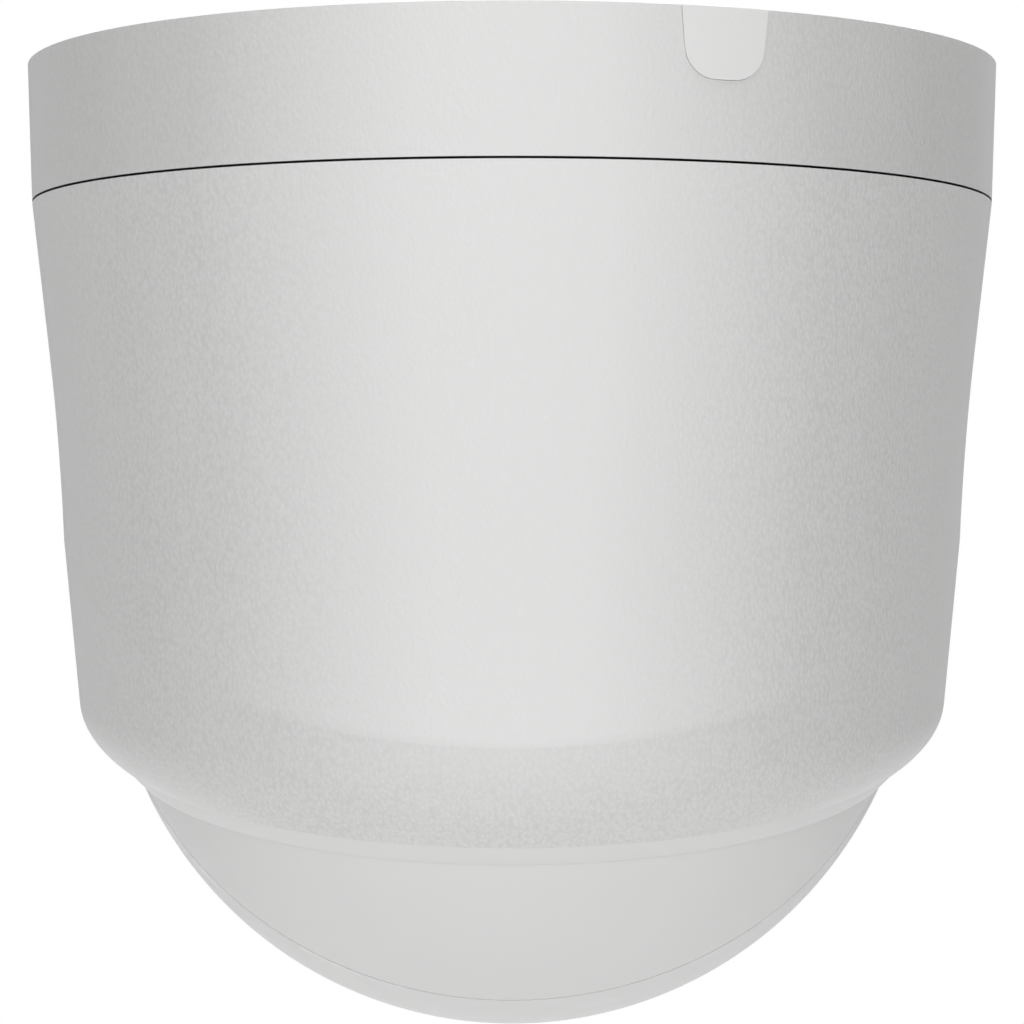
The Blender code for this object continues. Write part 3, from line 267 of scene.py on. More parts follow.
def circle(radius, segments, start=0.0, sweep=tau):
    """Points on an arc; a full circle leaves out its last point."""
    steps = segments if abs(sweep) >= tau - 1e-9 else segments + 1
    angles = (start + sweep * i / segments for i in range(steps))
    return [(radius * cos(a), radius * sin(a)) for a in angles]


def curve_point(start, pull, end, t):
    """A point on the curve from start to end that leaves and arrives toward the pull point."""
    return start * (1 - t) ** 2 + pull * 2 * t * (1 - t) + end * t ** 2


def fillet(profile):
    """Rounds each corner of a closed profile of (radius, distance), but not corners on the axis."""
    rounded = []
    count = len(profile)
    for i in range(count):
        before, here, after = (Vector(profile[k % count]) for k in (i - 1, i, i + 1))
        to_before, to_after = before - here, after - here
        shortest = min(to_before.length, to_after.length)
        turn = to_before.angle(to_after, pi)
        if here.x < TINY or shortest < TINY or turn > NEARLY_STRAIGHT:
            rounded.append(tuple(here))
            continue
        reach = min(FILLET_RADIUS / tan(turn / 2.0), 0.45 * shortest)
        start, end = here + to_before.normalized() * reach, here + to_after.normalized() * reach
        rounded += [tuple(curve_point(start, here, end, k / FILLET_STEPS)) for k in range(FILLET_STEPS + 1)]
    return rounded


def turned(profile, segments):
    """A closed profile of (radius, distance) turned about the lens axis."""
    turn = Matrix.Rotation(-pi / 2, 3, "X")
    shape = bmesh.new()
    rows = []
    for c, s in circle(1.0, segments):
        rows.append([shape.verts.new(BALL_CENTRE + turn @ Vector((r * c, r * s, h))) for r, h in profile])
    for i in range(segments):
        left, right = rows[i], rows[(i + 1) % segments]
        for j in range(len(profile)):
            k = (j + 1) % len(profile)
            on_axis = profile[j][0] < 1e-9, profile[k][0] < 1e-9
            if all(on_axis):
                continue
            corners = [left[j], right[j], right[k], left[k]]
            if on_axis[0]:
                corners = [left[j], right[k], left[k]]
            if on_axis[1]:
                corners = [left[j], right[j], left[k]]
            shape.faces.new(corners)
    return shape


def place(dx, dy, radius, z):
    return np.stack(np.broadcast_arrays(radius * dx, radius * dy, z), axis=-1)


# --- the housing's surface ---


def cone_radius(z, y):
    above_crease = z - CREASE_Z - CREASE_SLANT * y
    swell = np.clip((SWELL_HEIGHT + 1.0 - above_crease) / SWELL_HEIGHT, 0.0, 1.0)
    return HOUSING_TOP_RADIUS - CONE_TAPER * (HOUSING_TOP_Z - z) + SWELL * swell ** 2


def on_cone(dy, z):
    radius = HOUSING_TOP_RADIUS
    for _ in range(FIT_ROUNDS):
        radius = cone_radius(z, radius * dy)
    return radius


def crease_point(dy):
    radius = HOUSING_TOP_RADIUS
    for _ in range(CREASE_ROUNDS):
        z = np.minimum(CREASE_Z + CREASE_SLANT * radius * dy, HOUSING_TOP_Z - 20.0)
        radius = on_cone(dy, z)
    return radius, z


def ring_point(dy, sphere_radius, drop, slant):
    """Where a slanted plane meets a sphere about the ball's centre: its radius and height."""
    lean = slant * dy
    a = 1.0 + lean * lean
    b = -2.0 * drop * lean
    c = drop * drop - sphere_radius * sphere_radius
    radius = (-b + np.sqrt(b * b - 4.0 * a * c)) / (2.0 * a)
    return radius, BALL_Z - drop + lean * radius


class LowerWall:
    """The housing below its crease at given directions: a straight part, then an arc to the edge."""

    def __init__(self, dy):
        self.crease = crease_point(dy)
        edge = ring_point(dy, BALL_RADIUS + EDGE_CLEARANCE, EDGE_DROP, EDGE_SLANT)
        start_z = ROUNDING_Z + ROUNDING_SLANT * self.crease[0] * dy
        start_z = np.maximum(start_z, edge[1] + ROUNDING_LEAST_HEIGHT)
        self.lean = WALL_LEAN + REAR_WALL_LEAN * np.maximum(0.0, -dy) ** 4
        drop = self.crease[1] - start_z
        self.start = (self.crease[0] - self.lean * drop, start_z)
        self.straight = drop * np.sqrt(1.0 + self.lean ** 2)
        across, down = edge[0] - self.start[0], edge[1] - self.start[1]
        self.tangent = np.arctan2(-1.0, -self.lean)
        turn = np.arctan2(down, across) - self.tangent
        self.turn = np.arctan2(np.sin(turn), np.cos(turn))
        self.bend = np.hypot(across, down) / (2.0 * np.sin(np.abs(self.turn)))
        self.length = self.straight + 2.0 * np.abs(self.turn) * self.bend

    def at(self, distance):
        """The point and outward normal at a distance down from the crease, as (r, z, nr, nz)."""
        along = np.clip(distance / np.maximum(self.straight, TINY), 0.0, 1.0)
        r = self.crease[0] + (self.start[0] - self.crease[0]) * along
        z = self.crease[1] + (self.start[1] - self.crease[1]) * along
        bent = np.maximum(distance - self.straight, 0.0) / self.bend
        part = np.sign(self.turn) * bent
        reach = 2.0 * self.bend * np.sin(bent / 2.0)
        angle = self.tangent + part / 2.0
        heading = self.tangent + part
        blend = np.clip(bent / 0.3, 0.0, 1.0)
        nr, nz = -np.sin(heading), np.cos(heading) * blend
        scale = np.hypot(nr, nz)
        return r + reach * np.cos(angle), z + reach * np.sin(angle), nr / scale, nz / scale


def spaced(count, near_start=0.0, near_end=0.0):
    """Even steps from 0 to 1 with one extra step close to either end."""
    steps = [i / count for i in range(count + 1)]
    if near_start:
        steps.insert(1, near_start)
    if near_end:
        steps.insert(-1, 1.0 - near_end)
    return np.array(steps)


def housing_skin(dy, upper, lower_distance, depth):
    """Rows of points at directions: upper rows down to the crease, then lower rows at given distances."""
    rows = []
    for k, share in enumerate(upper):
        z = HOUSING_TOP_Z + (crease_point(dy[k])[1] - HOUSING_TOP_Z) * share
        rows.append((on_cone(dy[k], z) - depth, z))
    for k, distance in enumerate(lower_distance, start=len(upper)):
        r, z, nr, nz = LowerWall(dy[k]).at(distance)
        rows.append((r - depth * nr, z - depth * nz))
    return np.array(rows).swapaxes(0, 1)


def housing_columns(depth):
    """The housing's skin around its front opening: (front columns, side and back columns)."""
    upper = spaced(26, near_end=0.015)
    arch_rows, side_rows = 24, 18
    lower_steps = spaced(arch_rows, near_start=0.012)[1:]
    half_turn = np.radians(np.concatenate([[0.0], np.linspace(8.0, 90.0, 23)]))
    angles = np.concatenate([half_turn - pi / 2, (pi / 2 - half_turn[:-1])[::-1]])
    arch_x = ARCH_HALF_WIDTH * np.sin(angles)
    arch_z = ARCH_MIDDLE_Z + ARCH_HALF_WIDTH * np.cos(angles)
    count = len(upper) + len(lower_steps)
    dx = np.tile(arch_x / 110.0, (count, 1))
    for _ in range(FIT_ROUNDS):
        dy = np.sqrt(1.0 - dx ** 2)
        wall = LowerWall(dy[-1])
        end = (wall.crease[1] - arch_z) * np.sqrt(1.0 + wall.lean ** 2)
        distances = [end * step for step in lower_steps]
        r, z = housing_skin(dy, upper, distances, depth)
        dx = arch_x / r
    front = place(dx, dy, r, z)

    total = count + side_rows
    edge_dx = np.full((total, 1), ARCH_HALF_WIDTH / 105.0)
    side_steps = np.linspace(0.0, 1.0, side_rows + 1)[1:]
    for _ in range(FIT_ROUNDS):
        edge_dy = np.sqrt(1.0 - edge_dx ** 2)
        r, z = housing_skin(edge_dy, upper, edge_distances(edge_dy, count, lower_steps, side_steps), depth)
        edge_dx = ARCH_HALF_WIDTH / r
    half = np.arcsin(edge_dx)
    around = np.linspace(0.0, 1.0, 181)
    angle = half + (tau - 2.0 * half) * around
    dx, dy = np.sin(angle), np.cos(angle)
    spring = edge_distances(edge_dy, count, lower_steps, side_steps)
    share_back = np.minimum(1.0, 4.0 * np.minimum(around, 1.0 - around))
    share_back = share_back * share_back * (3.0 - 2.0 * share_back)
    edge_wall = LowerWall(edge_dy[-1])
    edge_share = np.array([value[0] for value in spring]) / edge_wall.length[0]
    split = arch_rows / (arch_rows + side_rows)
    even = np.concatenate([lower_steps * split, split + (1.0 - split) * side_steps])
    distances = []
    for k in range(len(spring)):
        share = edge_share[k] + (even[k] - edge_share[k]) * share_back
        distances.append(share * LowerWall(dy[len(upper) + k]).length)
    for k, value in enumerate(spring):
        distances[k][0] = distances[k][-1] = value[0]
    r, z = housing_skin(dy, upper, distances, depth)
    return front, place(dx, dy, r, z)


def edge_distances(dy, count, lower_steps, side_steps):
    """Distances below the crease down the opening's side: to where the arch springs, then to the edge."""
    spring_wall = LowerWall(dy[count - 1])
    spring = (spring_wall.crease[1] - ARCH_MIDDLE_Z) * np.sqrt(1.0 + spring_wall.lean ** 2)
    length = LowerWall(dy[-1]).length
    below = [spring + (length - spring) * step for step in side_steps]
    return [spring * step for step in lower_steps] + below


def opened_shell(outer, inner, far_band):
    """A closed shell from outer and inner skins of (front, side) columns, and the band at the far end."""
    shape = bmesh.new()
    for skin in (outer, inner):
        for part in skin:
            sheet(shape, part)
    for which in range(2):
        rows = [outer[which][0]] + [band[which] for band in far_band] + [inner[which][0]]
        sheet(shape, np.array(rows))
    sheet(shape, np.array([outer[1][-1], inner[1][-1]]))
    reach = len(outer[0]) - 1
    paths = []
    for front, side in (outer, inner):
        paths.append(np.concatenate([side[reach:, 0][::-1], front[-1][::-1], side[reach:, -1]]))
    sheet(shape, np.array(paths))
    return shape


def flat_ring(columns, radius, z):
    """The columns' top row moved in to a radius and a height."""
    flat = columns[0].copy()
    scale = radius / np.hypot(flat[:, 0], flat[:, 1])
    flat[:, 0] *= scale
    flat[:, 1] *= scale
    flat[:, 2] = z
    return flat


def flat_bands(skins, hole_radius, z, thickness):
    """A flat wall with a round hole, from the skins' far end in to the hole and back."""
    inward = [(radius, z) for radius in (*FLAT_RADII, hole_radius)]
    outward = [(radius, z + thickness) for radius, _ in inward[::-1]]
    return [[flat_ring(skin, radius, height) for skin in skins] for radius, height in inward + outward]


def housing_shell():
    outer = housing_columns(0.0)
    inner = housing_columns(HOUSING_WALL)
    bands = flat_bands(outer, ROOF_HOLE_RADIUS, HOUSING_TOP_Z, -HOUSING_ROOF)
    for skin in inner:
        skin[0][:, 2] = HOUSING_TOP_Z - HOUSING_ROOF
    shape = opened_shell(outer, inner, bands)
    item = finish_piece("housing", shape, "white_grain", "pan_body", "housing_shell", SHELL_SMOOTH)
    dark_seam_face(item, HOUSING_TOP_Z)
    soften(item, 0.15)


# --- the other outer pieces ---


def plug_path(grow):
    """The lower outline of the U-shaped notch from its left springing to its right one, in X and Z."""
    middle = PLUG_LOW_WIDTH / 2.0 - PLUG_CORNER
    floor = -PLUG_HEIGHT + PLUG_CORNER
    radius = PLUG_CORNER + grow
    turns = [radians(angle) for angle in (0.0, 16.0, 28.0, 38.0, 48.0, 58.0, 68.0, 79.0, 90.0)]
    left = [(-middle - radius * cos(a), floor - radius * sin(a)) for a in turns]
    flat = [(middle * share, floor - radius) for share in (-0.4, 0.4)]
    return np.array(left + flat + [(-x, z) for x, z in left[::-1]])


def plug_side(z, grow):
    """Half the notch's width at a height above its springing."""
    floor = -PLUG_HEIGHT + PLUG_CORNER
    share = np.clip((z - floor) / -floor, 0.0, 1.0)
    return PLUG_LOW_WIDTH / 2.0 + grow + (PLUG_TOP_WIDTH - PLUG_LOW_WIDTH) / 2.0 * share


def ring_radius(z):
    return RING_TOP_RADIUS + (RING_TOP_RADIUS - RING_BOTTOM_RADIUS) * z / RING_HEIGHT


def cover_columns(skin_radius, floor_z):
    """The fixed ring's skin around its notch, from its lower edge up, with the notch toward +Y."""
    path = plug_path(NOTCH_GAP)
    spring = path[0][1]
    lower = np.linspace(0.0, 1.0, 13)
    z = floor_z + (path[:, 1] - floor_z) * lower[:, None]
    r = skin_radius(z)
    x = np.tile(path[:, 0], (len(lower), 1))
    front = place(x / r, np.sqrt(1.0 - (x / r) ** 2), r, z)
    heights = np.concatenate([floor_z + (spring - floor_z) * lower, spring * np.linspace(1.0, 0.0, 7)[1:]])
    r = skin_radius(heights)[:, None]
    half = np.arcsin(plug_side(heights, NOTCH_GAP)[:, None] / r)
    angle = half + (tau - 2.0 * half) * np.linspace(0.0, 1.0, 241)
    side = place(np.sin(angle), np.cos(angle), r, heights[:, None])
    return front, side


def base_cover():
    outer = cover_columns(ring_radius, -RING_HEIGHT)
    inner = cover_columns(lambda z: np.full_like(z, RING_TOP_RADIUS - COVER_WALL), -RING_HEIGHT + COVER_FLOOR)
    shape = opened_shell(outer, inner, flat_bands(outer, COVER_HOLE_RADIUS, -RING_HEIGHT, COVER_FLOOR))
    bmesh.ops.transform(shape, matrix=Matrix.Rotation(pi + PLUG_AZIMUTH, 4, "Z"), verts=shape.verts)
    item = finish_piece("ring_cover", shape, "white_ring", "base", "base_cover", SHELL_SMOOTH)
    dark_seam_face(item, -RING_HEIGHT)
    soften(item, 0.12)


def conduit_plug():
    path = plug_path(0.0)
    top_x = path[:, 0] * (PLUG_TOP_WIDTH / PLUG_LOW_WIDTH)
    share = np.linspace(0.0, 1.0, 9)[:, None]
    x = path[:, 0] + (top_x - path[:, 0]) * share
    z = path[:, 1] + (0.0 - path[:, 1]) * share
    skins = []
    for inset in (-PLUG_PROUD, COVER_WALL):
        r = ring_radius(z) - inset
        skins.append(place(x / r, -np.sqrt(1.0 - (x / r) ** 2), r, z))
    shape = bmesh.new()
    for skin in skins:
        sheet(shape, skin)
    loops = []
    for skin in skins:
        sides = [skin[::-1, 0], skin[0, 1:-1], skin[:, -1], skin[-1, 1:-1][::-1]]
        loops.append(np.concatenate([*sides, sides[0][:1]]))
    sheet(shape, np.array(loops))
    bmesh.ops.transform(shape, matrix=Matrix.Rotation(PLUG_AZIMUTH, 4, "Z"), verts=shape.verts)
    item = finish_piece("cable_plug", shape, "white_smooth", "cable_plug", "conduit_plug", SHELL_SMOOTH)
    soften(item, 0.1)


def trim_ring():
    """A lip below the housing's edge that carries its rounding on, down to the ball."""
    columns = []
    half = asin(ARCH_HALF_WIDTH / BALL_RADIUS)
    for share in np.linspace(0.0, 1.0, 181):
        dy = cos(half + (tau - 2.0 * half) * share)
        top = Vector(ring_point(dy, BALL_RADIUS + EDGE_CLEARANCE, EDGE_DROP, EDGE_SLANT))
        foot = Vector(ring_point(dy, BALL_RADIUS + TRIM_CLEARANCE, BALL_RING_DROP, BALL_RING_SLANT))
        start = top + Vector((-TRIM_STEP, TRIM_TUCK))
        bulge = (start + foot) / 2.0 + Vector((0.35, -0.35))
        outline = [curve_point(start, bulge, foot, k / 7) for k in range(8)]
        outline += [foot + Vector((-0.05, 0.8)), top + Vector((-1.6, TRIM_TUCK))]
        column = []
        for r, z in outline:
            start_angle = asin(ARCH_HALF_WIDTH / r)
            angle = start_angle + (tau - 2.0 * start_angle) * share
            column.append((r * sin(angle), r * cos(angle), z))
        columns.append(column)
    shape = bmesh.new()
    closed = [column + column[:1] for column in columns]
    sheet(shape, np.array(closed))
    for column in (columns[0], columns[-1]):
        shape.faces.new([shape.verts.new(point) for point in column])
    item = finish_piece("trim_lip", shape, "white_trim", "pan_body", "trim_ring", SHELL_SMOOTH)
    soften(item, 0.2)


def arc_to_plane(pole, heading, normal, distance):
    """The angle from a pole along headings to a plane at a distance from the ball's centre."""
    a, b = normal.dot(pole), normal.dot(heading)
    size = hypot(a, b)
    share = max(-1.0, min(1.0, distance / BALL_RADIUS / size))
    middle, half = atan2(b, a), acos(share)
    angles = [(middle + half) % tau, (middle - half) % tau]
    return min(angles)


def bowl_point(pole, heading, angle, radius):
    return BALL_CENTRE + (pole * cos(angle) + heading * sin(angle)) * radius


def edge_profile(lip):
    """A small round at a shell's edge as (change of angle, depth) pairs, from the outer to the inner skin."""
    angles = (pi / 2 * i / 3 for i in range(4))
    turn = [(-lip * (1 - sin(a)) / BALL_RADIUS, lip * (1 - cos(a))) for a in angles]
    return turn + [(t, BALL_WALL - d) for t, d in turn[::-1]]


def ball_rear_shell():
    forward = Vector((0.0, cos(SPLIT_TILT), sin(SPLIT_TILT)))
    pole = Vector((0.0, -0.86, -0.5)).normalized()
    side = Vector((1.0, 0.0, 0.0))
    other = pole.cross(side)
    columns = []
    for c, s in circle(1.0, 240):
        heading = side * c + other * s
        rim = arc_to_plane(pole, heading, forward, SPLIT_OFFSET - SHELL_JOINT / 2)
        top = arc_to_plane(pole, heading, Vector((0.0, 0.0, 1.0)), REAR_SHELL_TOP)
        end = min(rim, top)
        steps = [end * i / 40 for i in range(1, 40)]
        outline = [(angle, 0.0) for angle in steps] + [(end + t, d) for t, d in edge_profile(SHELL_LIP)]
        outline += [(angle, BALL_WALL) for angle in steps[::-1]]
        columns.append([bowl_point(pole, heading, angle, BALL_RADIUS - d) for angle, d in outline])
    columns.append(columns[0])
    shape = bmesh.new()
    sheet(shape, columns)
    for end, depth in ((0, 0.0), (-1, BALL_WALL)):
        ring = [column[end] for column in columns[:-1]]
        close_tip(shape, BALL_CENTRE + pole * (BALL_RADIUS - depth), ring)
    finish_piece("ball_rear", shape, "white_ball", "pan_body", "ball_rear_shell")


def window_outline(grow):
    """The clear window's rounded outline, grown outward, as (x, elevation) pairs."""
    half_width = WINDOW_HALF_WIDTH + grow
    low, high = WINDOW_LOW * BALL_RADIUS - grow, WINDOW_HIGH * BALL_RADIUS + grow
    corner = WINDOW_CORNER + grow
    points = []
    for sx, sz, start in ((1, 1, 0.0), (-1, 1, 0.5), (-1, -1, 1.0), (1, -1, 1.5)):
        centre = (sx * (half_width - corner), (high if sz > 0 else low) - sz * corner)
        points += [(centre[0] + x, centre[1] + z) for x, z in circle(corner, 8, start * pi, pi / 2)]
    full = []
    for i, here in enumerate(points):
        after = points[(i + 1) % len(points)]
        count = max(1, round(dist(here, after) / 2.5))
        full += stepped(here, after, count)
    return [(x, z / BALL_RADIUS) for x, z in full]


def strip_point(radius, x, elevation):
    reach = sqrt(max(radius * radius - x * x, 0.0))
    return BALL_CENTRE + Vector((x, reach * cos(elevation), reach * sin(elevation)))


def even_about(outline, forward):
    """Adds points to an outline where it turns fast about an axis, so that a rim beyond it stays round."""
    side = Vector((1.0, 0.0, 0.0))
    up = forward.cross(side)

    def turn(point):
        direction = strip_point(BALL_RADIUS, *point) - BALL_CENTRE
        return atan2(direction.dot(up), direction.dot(side))

    even = []
    for i, here in enumerate(outline):
        after = outline[(i + 1) % len(outline)]
        change = abs(turn(after) - turn(here))
        count = max(1, ceil(min(change, tau - change) / RIM_STEP))
        even += stepped(here, after, count)
    return even


def ball_front_shell():
    forward = Vector((0.0, cos(SPLIT_TILT), sin(SPLIT_TILT)))
    columns = []
    for x, elevation in even_about(window_outline(SEAL_WIDTH + 2 * GAP), forward):
        inner_edge = (strip_point(BALL_RADIUS, x, elevation) - BALL_CENTRE).normalized()
        start = forward.angle(inner_edge)
        heading = (inner_edge - forward * forward.dot(inner_edge)).normalized()
        rim = arc_to_plane(forward, heading, -forward, -SPLIT_OFFSET - SHELL_JOINT / 2)
        top = arc_to_plane(forward, heading, Vector((0.0, 0.0, 1.0)), FRONT_SHELL_TOP)
        end = max(min(rim, top), start + 0.02)
        steps = [start + (end - start) * i / 24 for i in range(1, 24)]
        lip = edge_profile(SHELL_LIP)
        outline = [(start - t, d) for t, d in lip[::-1]] + [(angle, 0.0) for angle in steps]
        outline += [(end + t, d) for t, d in lip] + [(angle, BALL_WALL) for angle in steps[::-1]]
        column = [bowl_point(forward, heading, angle, BALL_RADIUS - d) for angle, d in outline]
        columns.append(column + column[:1])
    columns.append(columns[0])
    shape = bmesh.new()
    sheet(shape, columns)
    finish_piece("ball_front", shape, "white_ball", "pan_body", "ball_front_shell")


def window_patch(radius, steps):
    """Rings of points from the window's middle out to its edge on one sphere."""
    middle = (WINDOW_LOW + WINDOW_HIGH) / 2.0
    outline = window_outline(0.0)
    rings = []
    for share in steps:
        ring = [strip_point(radius, x * share, middle + (e - middle) * share) for x, e in outline]
        rings.append(ring + ring[:1])
    return rings, strip_point(radius, 0.0, middle)


def dome_window():
    shape = bmesh.new()
    shares = [i / 30 for i in range(1, 30)] + [0.996]
    edge = []
    for radius in (BALL_RADIUS, BALL_RADIUS - BALL_WALL):
        rings, tip = window_patch(radius, shares)
        sheet(shape, rings)
        edge.append(rings[-1])
        close_tip(shape, tip, rings[0][:-1])
    outer_edge = window_patch(BALL_RADIUS - 0.3, [1.0])[0][0]
    inner_edge = window_patch(BALL_RADIUS - BALL_WALL + 0.3, [1.0])[0][0]
    sheet(shape, [edge[0], outer_edge, inner_edge, edge[1]])
    finish_piece("clear_window", shape, "clear_dome", "pan_body", "dome_window")


def window_seal():
    shape = bmesh.new()
    outer, inner = BALL_RADIUS - 0.35, BALL_RADIUS - BALL_WALL
    loops = []
    near, far = window_outline(GAP), window_outline(GAP + SEAL_WIDTH)
    middle = window_outline(GAP + SEAL_WIDTH / 2)
    crown = outer - 0.25
    for outline, radius in ((near, inner), (near, crown), (middle, outer), (far, crown), (far, inner)):
        count = min(len(near), len(far), len(middle))
        picked = [outline[round(i * len(outline) / count) % len(outline)] for i in range(count)]
        loop = [strip_point(radius, x, e) for x, e in picked]
        loops.append(loop + loop[:1])
    loops.append(loops[0])
    sheet(shape, loops)
    finish_piece("window_seal_frame", shape, "rubber", "pan_body", "window_seal")


def housing_bezel():
    """The arched sleeve between the housing's front opening and the ball, with a rounded front edge."""
    lip, set_back, wall = BEZEL_LIP, BEZEL_SET_BACK, BEZEL_WALL
    half_round = ROUND_SHARE * lip
    front = [(0.0, set_back + lip), (half_round, set_back + half_round), (lip, set_back)]
    sections = [(0.0, None), *front, *((wall - inset, depth) for inset, depth in front[::-1]), (wall, None)]
    loops = []
    for inset, depth in sections:
        half = ARCH_HALF_WIDTH - GAP - inset
        side = [(-half, BEZEL_FOOT_Z + (ARCH_MIDDLE_Z - BEZEL_FOOT_Z) * i / 8) for i in range(8)]
        angles = (pi - pi * i / 60 for i in range(61))
        arch = [(half * cos(a), ARCH_MIDDLE_Z + half * sin(a)) for a in angles]
        x, z = np.array(side + arch + [(-x, z) for x, z in side[::-1]]).T
        if depth is None:
            y = np.sqrt((BALL_RADIUS + BEZEL_BALL_GAP) ** 2 - x ** 2 - (z - BALL_Z) ** 2)
        else:
            r = np.full_like(x, MEAN_RADIUS)
            for _ in range(FIT_ROUNDS):
                skin = LowerWall(np.sqrt(1.0 - (x / r) ** 2))
                distance = (skin.crease[1] - z) * np.sqrt(1.0 + skin.lean ** 2)
                for _ in range(ROUNDING_ROUNDS):
                    distance = distance + skin.at(distance)[1] - z
                r = skin.at(distance)[0] - depth
            y = np.sqrt(r ** 2 - x ** 2)
        loops.append(np.stack([x, y, z], axis=-1))
    shape = bmesh.new()
    sheet(shape, loops + loops[:1])
    for end in (0, -1):
        shape.faces.new([shape.verts.new(loop[end]) for loop in loops])
    finish_piece("opening_bezel", shape, "black_plastic", "pan_body", "housing_bezel", PART_SMOOTH)


# --- mounting face ---


def screw_place(i):
    angle = SCREW_AZIMUTH + tau / SCREW_COUNT * i
    return SCREW_CIRCLE * cos(angle), SCREW_CIRCLE * sin(angle)


def loop_at(shape, centre, radius, z, segments):
    return [shape.verts.new((centre[0] + x, centre[1] + y, z)) for x, y in circle(radius, segments)]


def join_loops(shape, loops):
    for upper, lower in zip(loops, loops[1:]):
        for i in range(len(upper)):
            k = (i + 1) % len(upper)
            shape.faces.new((upper[i], upper[k], lower[k], lower[i]))


def slot_loop(shape, centre, radius, angle, z):
    """A round-ended slot about a centre, as a loop of vertices."""
    turn = Matrix.Rotation(angle, 2)
    points = []
    for side in (1, -1):
        half_circle = circle(radius, 12, -side * pi / 2, pi)
        points += [Vector((x + side * SLOT_LENGTH / 2, y)) for x, y in half_circle]
    return [shape.verts.new((*(Vector(centre) + turn @ point), z)) for point in points]


def plate_edge(radius, lip):
    """The plate's rounded edge as (radius, height) pairs. The lip is positive at a hole."""
    middle = (radius + ROUND_SHARE * lip, -ROUND_SHARE * PLATE_LIP)
    upper = [(radius + lip, 0.0), middle, (radius, -PLATE_LIP)]
    return upper + [(r, -PLATE_THICKNESS - z) for r, z in upper[::-1]]


def mounting_plate():
    """A flat plate with an edge round, countersunk holes, a cable hole and slots for other hole patterns."""
    shape = bmesh.new()
    low = -PLATE_THICKNESS
    sink = [(4.7, 0.0), (4.55, -0.1), (2.75, -1.95), (2.6, -2.1), (2.6, low + 0.2), (2.8, low)]
    slot = [(SLOT_RADIUS + 0.3, 0.0), (SLOT_RADIUS, -0.3), (SLOT_RADIUS, low + 0.3), (SLOT_RADIUS + 0.3, low)]
    edges = {0.0: [], low: []}

    def add(loops):
        join_loops(shape, loops)
        for loop, z in ((loops[0], 0.0), (loops[-1], low)):
            edges[z] += [shape.edges.get((loop[i], loop[(i + 1) % len(loop)])) for i in range(len(loop))]

    add([loop_at(shape, (0.0, 0.0), r, z, 180) for r, z in plate_edge(PLATE_RADIUS, -PLATE_LIP)])
    cable_hole = plate_edge(CABLE_HOLE_RADIUS, PLATE_LIP)
    add([loop_at(shape, (0.0, CABLE_HOLE_Y), r, z, 64) for r, z in cable_hole])
    for i in range(SCREW_COUNT):
        add([loop_at(shape, screw_place(i), r, z, 40) for r, z in sink])
    for i in range(4):
        angle = radians(45.0 + 90.0 * i)
        centre = (SLOT_CIRCLE * cos(angle), SLOT_CIRCLE * sin(angle))
        add([slot_loop(shape, centre, r, angle + pi / 2, z) for r, z in slot])
    for z, border in edges.items():
        bmesh.ops.triangle_fill(shape, use_beauty=True, edges=border, normal=(0.0, 0.0, 1.0))
    item = finish_piece("mount_plate", shape, "steel_plate", "base", "mounting_plate", FLAT_SMOOTH)
    item.modifiers.new("flat_faces", "WEIGHTED_NORMAL").keep_sharp = True


def driven_screw(name, node, centre, profile):
    """A turned screw with a six-lobed recess in its head."""
    shape = bmesh.new()
    segments = 8 * RECESS_LOBES
    lobes = []
    for i, (x, y) in enumerate(circle(RECESS_RADIUS, segments)):
        share = 1.0 - RECESS_LOBE_DEPTH * (0.5 - 0.5 * cos(tau * i * RECESS_LOBES / segments))
        lobes.append((centre[0] + share * x, centre[1] + share * y))
    loops = [[shape.verts.new((x, y, SCREW_TOP_Z - depth)) for x, y in lobes]
             for depth in (RECESS_DEPTH, RECESS_EDGE)]
    loops += [loop_at(shape, centre, r, z, segments) for r, z in profile]
    join_loops(shape, loops)
    shape.faces.new(loops[0])
    shape.faces.new(loops[-1])
    finish_piece(name, shape, "steel", "base", node, PART_SMOOTH)


def plate_screws():
    profile = [(1.75, SCREW_TOP_Z), (3.85, SCREW_TOP_Z), (4.1, -0.35), (4.02, -0.55), (2.1, -2.25),
               (2.0, -2.5)]
    for k in range(THREADS):
        profile += [(2.0, -2.8 - THREAD_PITCH * k), (1.68, -3.1 - THREAD_PITCH * k)]
    profile += [(1.9, -11.8), (1.5, -12.0)]
    for i in range(SCREW_COUNT):
        driven_screw(f"plate_fixing_{i + 1}", f"plate_screw_{i + 1}", screw_place(i), profile)


# --- camera module ---


def ribbed(low, high, radius, depth, pitch):
    """Fine rings around a barrel between two heights, as profile points."""
    points = []
    count = int((high - low) / pitch)
    for i in range(count):
        base = low + pitch * i
        points += [(radius, base), (radius, base + 0.5 * pitch), (radius - depth, base + 0.6 * pitch),
                   (radius - depth, base + 0.9 * pitch)]
    return points


def hood_step(i):
    """A corner of the hood's inner steps, counted from its mouth."""
    share = i / HOOD_STEPS
    return HOOD_MOUTH - (HOOD_MOUTH - HOOD_THROAT) * share, HOOD_END - (HOOD_END - GLASS_TIP) * share


